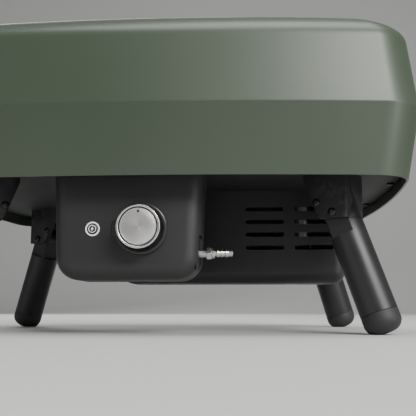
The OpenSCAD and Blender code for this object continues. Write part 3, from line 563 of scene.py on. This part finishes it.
# ---------------------------------------------------------------------------------------------------------
# Gas knob.
# A moulded bezel with a lug at its left frames a black skirt, a polished rim and a face turned on a lathe.
# The skirt, rim, face and mark turn with the valve's stem; the bezel is fixed to the box.
# ---------------------------------------------------------------------------------------------------------
knob_plastic = coated("knob_satin_plastic", (0.020, 0.020, 0.0205), (0.026, 0.026, 0.0265),
                      (0.05, 0.05, 0.05), 0.30, 3200.0, 0.00004)

BEZEL = [(8, 0.1), (25.6, 0.1), (25.6, 3.1), (25.2, 4.0), (24.3, 4.5), (22.5, 4.5), (21.95, 4.25),
         (21.8, 3.8), (21.8, 1.2), (8, 1.2)]
LUG_OUTER, LUG_INNER, LUG_HALF_H = 0.0281, 0.0225, 0.007
LUG_FRONT, LUG_BACK, LUG_SOFT = 0.003, 0.0002, 0.0008
bezel = lathe(BEZEL)
lug = slab(KNOB.x - LUG_OUTER, KNOB.x - LUG_INNER, KNOB.y - LUG_FRONT, KNOB.y - LUG_BACK,
           KNOB.z - LUG_HALF_H, KNOB.z + LUG_HALF_H)
lug_rim = [e for e in lug.edges if all(v.co.y < KNOB.y - LUG_FRONT + 0.001 for v in e.verts)]
soften(lug, lug_rim, LUG_SOFT, 3)
bm = carve(moved(bezel, out_of_front(*KNOB)), lug, "UNION")
built(bm, "knob_bezel_ring", knob_plastic, "oven", "knob_black", "knob_bezel")

SKIRT = [(4.1, 4.2), (19.6, 4.2), (20.3, 4.6), (20.6, 5.4), (20.6, 19.0), (20.2, 19.7), (4.1, 19.7)]
bm = moved(lathe(SKIRT, 96), out_of_front(*KNOB))
built(bm, "knob_skirt_ring", knob_plastic, "knob", "knob_black", "knob_skirt")

# Turned metal: grooves that run round the axis as a bump, and a pair of bright fans painted into the colour
# as a painted highlight.
turned_metal = bpy.data.node_groups.new("turned_metal", "ShaderNodeTree")
group_socket(turned_metal, "Place", "INPUT", "NodeSocketVector")
group_socket(turned_metal, "Fineness", "INPUT", "NodeSocketFloat", 5200.0)
group_socket(turned_metal, "Grooves", "OUTPUT", "NodeSocketFloat")
group_socket(turned_metal, "Painted Highlight Fan", "OUTPUT", "NodeSocketFloat")
inside = turned_metal.nodes.new("NodeGroupInput")
outside = turned_metal.nodes.new("NodeGroupOutput")
reach = turned_metal.nodes.new("ShaderNodeVectorMath")
reach.operation = "LENGTH"
wire(turned_metal, inside.outputs["Place"], reach.inputs[0])
line = turned_metal.nodes.new("ShaderNodeTexNoise")
line.noise_dimensions = "1D"
line.inputs["Detail"].default_value = 3.0
wire(turned_metal, reach.outputs["Value"], line.inputs["W"])
wire(turned_metal, inside.outputs["Fineness"], line.inputs["Scale"])
wire(turned_metal, line.outputs["Fac"], outside.inputs["Grooves"])
parts = turned_metal.nodes.new("ShaderNodeSeparateXYZ")
wire(turned_metal, inside.outputs["Place"], parts.inputs[0])
around = math_node(turned_metal, "ARCTAN2", parts.outputs["Z"], parts.outputs["X"])
# Painted highlight: one pair of opposite bright fans painted into the colour, the pattern that a turned disc
# shows under broad lights.
FAN_TURN, FAN_TIGHT = 0.9, 3.0
wave = math_node(turned_metal, "COSINE", math_node(turned_metal, "ADD", around, FAN_TURN))
painted_highlight_fans = math_node(turned_metal, "POWER", math_node(turned_metal, "ABSOLUTE", wave), FAN_TIGHT)
wire(turned_metal, map_range(turned_metal, painted_highlight_fans, 0.0, 1.0), outside.inputs["Painted Highlight Fan"])


def turned(name, centre, dark, light, rough, fineness, depth):
    """Metal turned on a lathe about an axis along Y through the centre, with a painted highlight in two
    fans.
    """
    material, nodes, links, shader = new_material(name)
    tree = material.node_tree
    where = nodes.new("ShaderNodeTexCoord")
    shift = nodes.new("ShaderNodeMapping")
    shift.inputs["Location"].default_value = [-c for c in centre]
    links.new(where.outputs["Object"], shift.inputs["Vector"])
    flatten = nodes.new("ShaderNodeVectorMath")
    flatten.operation = "MULTIPLY"
    flatten.inputs[1].default_value = (1.0, 0.0, 1.0)
    links.new(shift.outputs["Vector"], flatten.inputs[0])
    grain = nodes.new("ShaderNodeGroup")
    grain.node_tree = turned_metal
    grain.inputs["Fineness"].default_value = fineness
    links.new(flatten.outputs["Vector"], grain.inputs["Place"])
    # Painted highlight: the colour runs from the dark tone to the light tone across the two fans.
    tone = mix_colour(tree, grain.outputs["Painted Highlight Fan"], dark, light)
    groove_shade = math_node(tree, "MULTIPLY", map_range(tree, grain.outputs["Grooves"], 0.35, 0.65), 0.35)
    tone = mix_colour(tree, groove_shade, tone, tuple(0.55 * c for c in light))
    links.new(tone, shader.inputs["Base Color"])
    links.new(map_range(tree, grain.outputs["Grooves"], 0.3, 0.7, rough - 0.06, rough + 0.08),
              shader.inputs["Roughness"])
    links.new(bump_node(tree, grain.outputs["Grooves"], depth, 0.7), shader.inputs["Normal"])
    shader.inputs["Metallic"].default_value = 1.0
    return material


# Painted highlight: the light tones of the rim and the face are the bright fans painted into their colour.
rim_chrome = turned("knob_rim_chrome", KNOB, (0.84, 0.83, 0.81), (0.94, 0.93, 0.91), 0.17, 3000.0, 0.00001)
face_steel = turned("knob_face_steel", KNOB, (0.66, 0.65, 0.63), (0.97, 0.96, 0.94), 0.34, 5200.0, 0.00006)
DOT_UP = 0.0143

RIM = [(18.7, 19.7), (20.7, 19.7), (21.0, 20.1), (21.0, 21.9), (20.75, 22.4), (20.3, 22.68), (19.5, 22.68),
       (18.95, 22.4), (18.7, 21.9)]
bm = moved(lathe(RIM, 128), out_of_front(*KNOB))
built(bm, "knob_rim_ring", rim_chrome, "knob", "rim_chrome", "knob_rim", angle=50.0)
FACE = [(0, 19.75), (17.4, 19.75), (17.5, 21.7), (17.25, 22.05), (16.9, 22.12), (16.7, 22.05), (16.5, 22.12),
        (8.0, 22.24), (0, 22.28)]
bm = moved(lathe(FACE, 128, closed=False), out_of_front(*KNOB))
dot_place = KNOB + Vector((0.0, 0.0, DOT_UP))
dimple = moved(lathe([(0, 21.3), (1.2, 21.3), (1.3, 23.5), (0, 23.5)], 32, closed=False),
               out_of_front(*dot_place))
bm = carve(bm, dimple)
built(bm, "knob_face_disc", face_steel, "knob", "knob_steel", "knob_face", angle=22.0)
mark_paint = coated("knob_mark_paint", (0.012, 0.012, 0.012), (0.018, 0.018, 0.018), (0.04, 0.04, 0.04),
                    0.45, 3000.0, 0.00003)
bm = moved(lathe([(0, 21.0), (1.15, 21.0), (1.15, 21.6), (1.0, 21.75), (0, 21.8)], 32, closed=False),
           out_of_front(*dot_place))
built(bm, "knob_mark_dot", mark_paint, "knob", "white_mark", "knob_pointer")

# ---------------------------------------------------------------------------------------------------------
# Igniter button.
# A push button in a pale ring that is let into the box's face. Its cap has a moulded spark sign.
# The ring stays with the box, and the cap and sign are pressed in together. The ring and the sign have a
# painted glow.
# ---------------------------------------------------------------------------------------------------------
painted_glow_plastic, nodes, links, shader = new_material("pale_ring_plastic_painted_glow")
tree = painted_glow_plastic.node_tree
where = nodes.new("ShaderNodeTexCoord").outputs["Object"]
cloud = noise_node(tree, where, 900.0, 3.0)
links.new(mix_colour(tree, cloud, (0.74, 0.75, 0.74), (0.84, 0.85, 0.84)), shader.inputs["Base Color"])
links.new(map_range(tree, cloud, 0.3, 0.7, 0.28, 0.4), shader.inputs["Roughness"])
links.new(bump_node(tree, noise_node(tree, where, 4200.0, 2.0), 0.00002, 0.4), shader.inputs["Normal"])
# Painted glow: the pale ring emits light of its own, though it is no lamp, so it reads brighter than lit
# plastic.
links.new(mix_colour(tree, cloud, (0.95, 0.97, 1.0), (1.0, 1.0, 1.0)), shader.inputs["Emission Color"])
shader.inputs["Emission Strength"].default_value = 0.35

PALE_RING = [(5.7, 0.1), (7.0, 0.1), (7.0, 0.8), (6.85, 1.15), (6.6, 1.25), (6.0, 1.25), (5.7, 1.1)]
bm = moved(lathe(PALE_RING, 96), out_of_front(IGNITER_X, KNOB.y, KNOB.z))
built(bm, "igniter_pale_ring", painted_glow_plastic, "oven", "white_mark", "igniter_ring", angle=45.0)
CAP = [(0, -9.9), (2.5, -9.9), (2.5, -5.2), (6.2, -5.2), (6.2, -3.0), (5.0, -3.0), (5.0, 1.2), (4.8, 1.7),
       (4.4, 1.9), (3.6, 1.85), (0, 1.75)]
bm = moved(lathe(CAP, 64, closed=False), out_of_front(IGNITER_X, KNOB.y, KNOB.z))
built(bm, "igniter_cap", knob_plastic, "igniter", "knob_black", "igniter_button", angle=40.0)
spark = bmesh.new()
SPARK_SIGN = [(0.8, 2.5), (-1.6, -0.5), (-0.15, -0.4), (-0.8, -2.5), (1.6, 0.5), (0.15, 0.4)]
SIGN_BASE, SIGN_RISE = 0.0017, 0.00028
sign_verts = [spark.verts.new((IGNITER_X + x * MM, KNOB.y - SIGN_BASE, KNOB.z + z * MM))
              for x, z in SPARK_SIGN]
sign_face = spark.faces.new(sign_verts)
grown = bmesh.ops.extrude_face_region(spark, geom=[sign_face])["geom"]
bmesh.ops.translate(spark, verts=verts_of(grown), vec=(0, -SIGN_RISE, 0))
outwards(spark)
halo = moved(lathe([(3.2, 1.7), (3.75, 1.7), (3.75, 1.97), (3.2, 1.97)], 64),
             out_of_front(IGNITER_X, KNOB.y, KNOB.z))
spark = merged(spark, halo)
# The spark sign and its ring share this material, so they carry the painted glow as well.
built(spark, "igniter_spark_sign", painted_glow_plastic, "igniter", "white_mark")

# ---------------------------------------------------------------------------------------------------------
# Gas inlet.
# A hexagon nut holds a ridged barb to the inlet pipe, where the gas hose pushes on.
# The nut and barb are turned metal with nickel plating, and the valve and injector behind them are brass.
# ---------------------------------------------------------------------------------------------------------
nut_low, nut_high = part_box("inlet_nut")
barb_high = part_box("hose_barb")[1]


def plated(name, dark, light, rough, scale):
    """Plated or drawn metal: faint cloudiness, fine scratches and small changes of gloss."""
    material, nodes, links, shader = new_material(name)
    tree = material.node_tree
    where = nodes.new("ShaderNodeTexCoord").outputs["Object"]
    cloud = noise_node(tree, where, scale, 5.0, 0.6)
    fine = noise_node(tree, where, scale * 22, 3.0, 0.7)
    links.new(mix_colour(tree, map_range(tree, cloud, 0.3, 0.7), dark, light), shader.inputs["Base Color"])
    links.new(map_range(tree, cloud, 0.3, 0.7, rough - 0.07, rough + 0.07), shader.inputs["Roughness"])
    links.new(bump_node(tree, fine, 0.00003, 0.5), shader.inputs["Normal"])
    shader.inputs["Metallic"].default_value = 1.0
    return material


nickel = plated("nickel_plate", (0.50, 0.50, 0.48), (0.72, 0.71, 0.69), 0.26, 240.0)
brass = plated("machined_brass", (0.50, 0.36, 0.15), (0.66, 0.50, 0.24), 0.30, 160.0)
NUT_R, NUT_BORE = 6.5, 3.15
NUT_FACE_R, NUT_WIDE_R, NUT_CHAMFER = 5.4, 6.9, 0.9
nut_len = (nut_high.x - nut_low.x) / MM
bm = bmesh.new()
bmesh.ops.create_cone(bm, cap_ends=True, segments=6, radius1=NUT_R * MM, radius2=NUT_R * MM,
                      depth=nut_len * MM)
bmesh.ops.translate(bm, vec=(0, 0, nut_len * MM / 2), verts=bm.verts[:])
chamfer = lathe([(0, 0), (NUT_FACE_R, 0), (NUT_WIDE_R, NUT_CHAMFER), (NUT_WIDE_R, nut_len - NUT_CHAMFER),
                 (NUT_FACE_R, nut_len), (0, nut_len)], 96, closed=False)
bm = carve(bm, chamfer, "INTERSECT")
bm = carve(bm, rod(NUT_BORE, -1, nut_len + 1, 48))
moved(bm, out_of_side(nut_low.x, INLET.y, INLET.z))
built(bm, "inlet_hex_nut", nickel, "oven", "fastener_steel", "inlet_nut", angle=25.0)

barb_x0 = nut_high.x
tip = (barb_high.x - barb_x0) / MM
RIDGE = 4.2
profile = [(2.0, 0.2 - nut_len), (3.0, 0.2 - nut_len), (3.0, 0.1), (4.7, 0.1), (5.0, 0.4), (5.0, 2.7),
           (4.7, 3.1), (3.0, 3.1)]
for k in (1, 2, 3):
    start = 1 + k * RIDGE
    profile += [(3.0, start), (3.7, start), (4.0, start + 0.35), (3.9, start + 0.7),
                (3.02, start + RIDGE - 0.6)]
profile += [(3.2, tip - 3.7), (3.2, tip - 0.4), (2.9, tip), (2.0, tip)]
bm = moved(lathe(profile, 64), out_of_side(barb_x0, INLET.y, INLET.z))
built(bm, "hose_barb_ridges", nickel, "oven", "fastener_steel", "hose_barb", angle=30.0)
finish_cad(nickel, "inlet_pipe")
finish_cad(brass, "gas_valve", "gas_injector")

# ---------------------------------------------------------------------------------------------------------
# Burner housing.
# A pressed steel box round the venturi, coated black and open at the top, where it is screwed to the pan.
# Two columns of air slots go through both long sides.
# ---------------------------------------------------------------------------------------------------------
case_low, case_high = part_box("burner_housing")
CASE_R, CASE_T = 0.014, 0.002
SLOT_LEN, SLOT_H = 0.045, 0.0053
SLOT_X = (0.1125, 0.1695)
SLOT_Z, SLOT_PITCH = 0.1186, 0.0151
SLOT_REACH = 0.06

bm = slab(case_low.x, case_high.x, case_low.y, case_high.y, case_low.z, case_high.z)
soft = [e for e in bm.edges if not all(v.co.z > case_high.z - 1e-5 for v in e.verts)]
soften(bm, soft, CASE_R, 8)
lids = [f for f in bm.faces if f.normal.z > 0.99]
bmesh.ops.delete(bm, geom=lids, context="FACES")
thicken(bm, CASE_T)
cutters = []
for x in SLOT_X:
    for k in (-1.5, -0.5, 0.5, 1.5):
        z = SLOT_Z + k * SLOT_PITCH
        slot = slab(x - SLOT_LEN / 2, x + SLOT_LEN / 2, -SLOT_REACH, SLOT_REACH,
                    z - SLOT_H / 2, z + SLOT_H / 2)
        cutters.append(round_along(slot, 1, SLOT_H / 2 - 1e-5, 6))
bm = carve(bm, merged(*cutters))
built(bm, "burner_housing_case", black_coat, "oven", "black_coat", "burner_housing", angle=25.0)

# ---------------------------------------------------------------------------------------------------------
# Leg brackets, legs and feet.
# Each leg is a drawn tube with a tongue that folds on a bolt through a cast bracket under the pan.
# A rubber cap closes the tube, and the cap is worn flat where it stands. Sizes here are in millimetres,
# except the place of the front left pivot, PIVOT.
# ---------------------------------------------------------------------------------------------------------
PIVOT = Vector((0.1885, 0.128, 0.122))
SPLAY_DIR, SPLAY = math.radians(32.0), math.radians(20.5)
BRACKET_W, SLOT_HALF, STOP_Z, TOP_Z, EYE_R = 44.0, 15.3, -6.0, 41.0, 13.0
CAST_SOFT, EYE_ROOM, CUT_REACH = 1.2, 0.3, 60.0
LEG_R, LEG_END, FOOT_LEN, FOOT_ROUND = 19.0, 128.1, 20.0, 12.0
CORNERS = {"fl": (1, 1, "leg_front_left"), "fr": (-1, 1, "leg_front_right"),
           "rl": (1, -1, "leg_rear_left"), "rr": (-1, -1, "leg_rear_right")}

cast_black = coated("cast_black_bracket", (0.015, 0.015, 0.0155), (0.020, 0.020, 0.0205), (0.09, 0.09, 0.09),
                    0.44, 900.0, 0.00014, metallic=0.25, rub=0.3)
leg_metal = coated("leg_satin_metal", (0.030, 0.030, 0.0305), (0.036, 0.036, 0.0365), (0.11, 0.11, 0.11),
                   0.38, 1600.0, 0.00007, metallic=0.4)
foot_rubber = coated("foot_rubber", (0.020, 0.020, 0.0205), (0.026, 0.026, 0.0265), (0.06, 0.06, 0.06),
                     0.58, 2200.0, 0.00018)
bolt_steel = coated("bolt_blackened_steel", (0.035, 0.035, 0.036), (0.055, 0.055, 0.056), (0.2, 0.2, 0.2),
                    0.32, 1500.0, 0.00005, metallic=0.85)


def at_leg(sx, sy):
    """The place of one leg's pivot, with X turned outwards along the leg's splay."""
    turn = math.atan2(sy * math.sin(SPLAY_DIR), sx * math.cos(SPLAY_DIR))
    return Matrix.Translation((sx * PIVOT.x, sy * PIVOT.y, PIVOT.z)) @ Matrix.Rotation(turn, 4, "Z")


def mm_slab(x0, x1, y0, y1, z0, z1):
    return slab(*(v * MM for v in (x0, x1, y0, y1, z0, z1)))


def across(shape, x, z):
    """Lays a lathed piece along the bracket's width, centred."""
    return moved(shape, Matrix.Translation((x * MM, 0, z * MM)) @ Matrix.Rotation(math.radians(90), 4, "X"))


def bracket_casting():
    """One bracket with its pivot at the origin: a block and a round boss, cut out where the leg folds."""
    side = [(-13.7, STOP_Z), (-18.0, 0.0), (-32.0, TOP_Z - 5), (-32.0, TOP_Z), (15.5, TOP_Z), (15.5, STOP_Z)]
    shape = bmesh.new()
    face = shape.faces.new([shape.verts.new((x * MM, -BRACKET_W / 2 * MM, z * MM)) for x, z in side])
    grown = bmesh.ops.extrude_face_region(shape, geom=[face])["geom"]
    bmesh.ops.translate(shape, verts=verts_of(grown), vec=(0, BRACKET_W * MM, 0))
    outwards(shape)
    soft = [e for e in shape.edges if not all(v.co.z > (TOP_Z - 1) * MM for v in e.verts)
            and not all(v.co.z < (STOP_Z + 0.1) * MM for v in e.verts)]
    soften(shape, soft, CAST_SOFT * MM, 3)
    boss = moved(rod(LEG_R, -CUT_REACH, CUT_REACH, 96), Matrix.Rotation(-SPLAY, 4, "Y"))
    boss = carve(boss, mm_slab(0, CUT_REACH, -BRACKET_W / 2, BRACKET_W / 2, STOP_Z, TOP_Z), "INTERSECT")
    shape = carve(shape, boss, "UNION")
    room = EYE_R + EYE_ROOM
    cuts = [across(rod(room, -SLOT_HALF, SLOT_HALF, 64), 0, 0),
            mm_slab(-CUT_REACH, room, -SLOT_HALF, SLOT_HALF, -40, 0),
            mm_slab(-CUT_REACH, 0, -SLOT_HALF, SLOT_HALF, -1, room),
            mm_slab(-CUT_REACH, -EYE_R, -SLOT_HALF, SLOT_HALF, -1, LEG_R + 2.5)]
    for cut in cuts:
        shape = carve(shape, cut)
    return shape


def copy_of(shape, matrix):
    twin = shape.copy()
    return moved(twin, matrix)


casting = bracket_casting()
BOLT_HEAD = [(0, -4.0), (2.4, -4.0), (2.4, 0.1), (3.9, 0.1), (3.9, 0.9), (3.6, 1.6), (2.9, 2.1), (2.0, 2.3),
             (1.9, 1.2), (0, 1.2)]
PIVOT_BOLT = [(0, 0), (3.9, 0), (3.9, 22.1), (4.3, 22.1), (4.3, 22.9), (4.0, 23.6), (3.2, 24.2), (2.2, 24.4),
              (2.1, 23.2), (0, 23.2)]
UPPER_BOLT = (-17.0, 11.0)
casting_bolts, pivot_bolts = [], []
foot_profile = [(0, 0)] + [(LEG_R - FOOT_ROUND + FOOT_ROUND * math.sin(math.radians(a)),
                            FOOT_ROUND * (1 - math.cos(math.radians(a)))) for a in range(0, 91, 6)]
foot_profile += [(LEG_R, FOOT_LEN - 1.2), (LEG_R - 0.5, FOOT_LEN - 0.2), (0, FOOT_LEN - 0.05)]
for key, (sx, sy, body) in CORNERS.items():
    place = at_leg(sx, sy)
    built(copy_of(casting, place), "leg_bracket_casting_" + key, cast_black, "oven", "black_coat",
          "leg_bracket_" + key, angle=24.0)
    tilt = place @ Matrix.Rotation(-SPLAY, 4, "Y") @ Matrix.Translation((0, 0, -LEG_END * MM))
    bm = moved(lathe(foot_profile, 96, closed=False), tilt)
    cut = bmesh.ops.bisect_plane(bm, geom=bm.verts[:] + bm.edges[:] + bm.faces[:], plane_co=(0, 0, 0),
                                 plane_no=(0, 0, -1), clear_outer=True)["geom_cut"]
    bmesh.ops.holes_fill(bm, edges=[g for g in cut if isinstance(g, bmesh.types.BMEdge)])
    outwards(bm)
    built(bm, "foot_cap_" + key, foot_rubber, body, "foot_rubber", "foot_" + key, angle=30.0)
    finish_cad(leg_metal, "leg_" + key)
    for side in (-1, 1):
        sideways = Matrix.Rotation(math.radians(-90 * side), 4, "X")
        cheek = place @ Matrix.Translation((0, side * BRACKET_W / 2 * MM, 0)) @ sideways
        upper = cheek @ Matrix.Translation((UPPER_BOLT[0] * MM, -side * UPPER_BOLT[1] * MM, 0))
        casting_bolts.append(moved(lathe(BOLT_HEAD, 40, closed=False), upper))
        pivot_bolts.append(moved(lathe(PIVOT_BOLT, 40, closed=False), place @ sideways))
built(merged(*casting_bolts), "bracket_bolt_heads", bolt_steel, "oven", "fastener_steel", "bracket_bolts")
built(merged(*pivot_bolts), "pivot_bolt_heads", bolt_steel, "oven", "fastener_steel", "pivot_bolts")
casting.free()

# ---------------------------------------------------------------------------------------------------------
# Cooking chamber.
# A folded steel liner with an arched roof, wrapped in a ceramic blanket, with a cordierite stone on three
# iron rails. The black frame round the mouth ties the liner to the shell.
# ---------------------------------------------------------------------------------------------------------
chamber_steel = plated("chamber_steel", (0.30, 0.29, 0.27), (0.46, 0.44, 0.41), 0.36, 26.0)
rail_iron = plated("rail_iron", (0.10, 0.095, 0.09), (0.16, 0.15, 0.145), 0.5, 60.0)
stone, nodes, links, shader = new_material("cordierite_stone")
tree = stone.node_tree
where = nodes.new("ShaderNodeTexCoord").outputs["Object"]
body_tone = mix_colour(tree, map_range(tree, noise_node(tree, where, 14.0, 5.0), 0.3, 0.7),
                       (0.52, 0.43, 0.31), (0.64, 0.55, 0.42))
specks = map_range(tree, noise_node(tree, where, 620.0, 2.0), 0.60, 0.68)
links.new(mix_colour(tree, specks, body_tone, (0.25, 0.19, 0.13)), shader.inputs["Base Color"])
links.new(map_range(tree, specks, 0.0, 1.0, 0.85, 0.95), shader.inputs["Roughness"])
links.new(bump_node(tree, noise_node(tree, where, 900.0, 4.0, 0.7), 0.0004, 0.5), shader.inputs["Normal"])
blanket, nodes, links, shader = new_material("ceramic_blanket")
tree = blanket.node_tree
where = nodes.new("ShaderNodeTexCoord").outputs["Object"]
wool = noise_node(tree, where, 260.0, 6.0, 0.75)
links.new(mix_colour(tree, wool, (0.62, 0.60, 0.54), (0.82, 0.80, 0.74)), shader.inputs["Base Color"])
links.new(map_range(tree, wool, 0.2, 0.8, 0.9, 1.0), shader.inputs["Roughness"])
links.new(bump_node(tree, wool, 0.0012, 0.7), shader.inputs["Normal"])
finish_cad(chamber_steel, "chamber_liner", "burner_tube", "burner_guard", "burner_riser", "venturi_tube",
           "air_shutter", "housing_cleats")
finish_cad(rail_iron, "stone_rails")
finish_cad(stone, "baking_stone")
finish_cad(blanket, "insulation")
finish_cad(black_coat, "mouth_frame")

# ---------------------------------------------------------------------------------------------------------
# Gas and ignition parts inside the box.
# The valve, its spring and the ignition module sit behind the knob and the button. Pipes and leads go from
# them to the burner. They keep their CAD shape and get the finish of their metal, ceramic or plastic.
# ---------------------------------------------------------------------------------------------------------
bare_steel = plated("zinc_plated_steel", (0.48, 0.48, 0.47), (0.64, 0.64, 0.62), 0.3, 200.0)
aluminium = plated("drawn_aluminium", (0.66, 0.66, 0.65), (0.78, 0.78, 0.77), 0.34, 90.0)
ceramic = coated("white_ceramic", (0.68, 0.67, 0.62), (0.76, 0.75, 0.70), (0.5, 0.48, 0.44),
                 0.3, 1200.0, 0.00005)
cable_cover = coated("cable_cover", (0.015, 0.015, 0.016), (0.03, 0.03, 0.03), (0.06, 0.06, 0.06),
                     0.6, 2000.0, 0.0001)
copper = plated("copper_lead", (0.45, 0.22, 0.12), (0.62, 0.33, 0.19), 0.35, 200.0)
module_grey = coated("module_grey_plastic", (0.03, 0.03, 0.033), (0.045, 0.045, 0.048), (0.09, 0.09, 0.09),
                     0.5, 1500.0, 0.0001)
finish_cad(bare_steel, "valve_spring", "push_collar", "valve_stem", "panel_nut", "thermocouple")
finish_cad(aluminium, "manifold_pipe")
finish_cad(ceramic, "spark_electrode")
finish_cad(cable_cover, "spark_lead")
finish_cad(copper, "thermocouple_lead")
finish_cad(module_grey, "igniter_module", "igniter_battery")
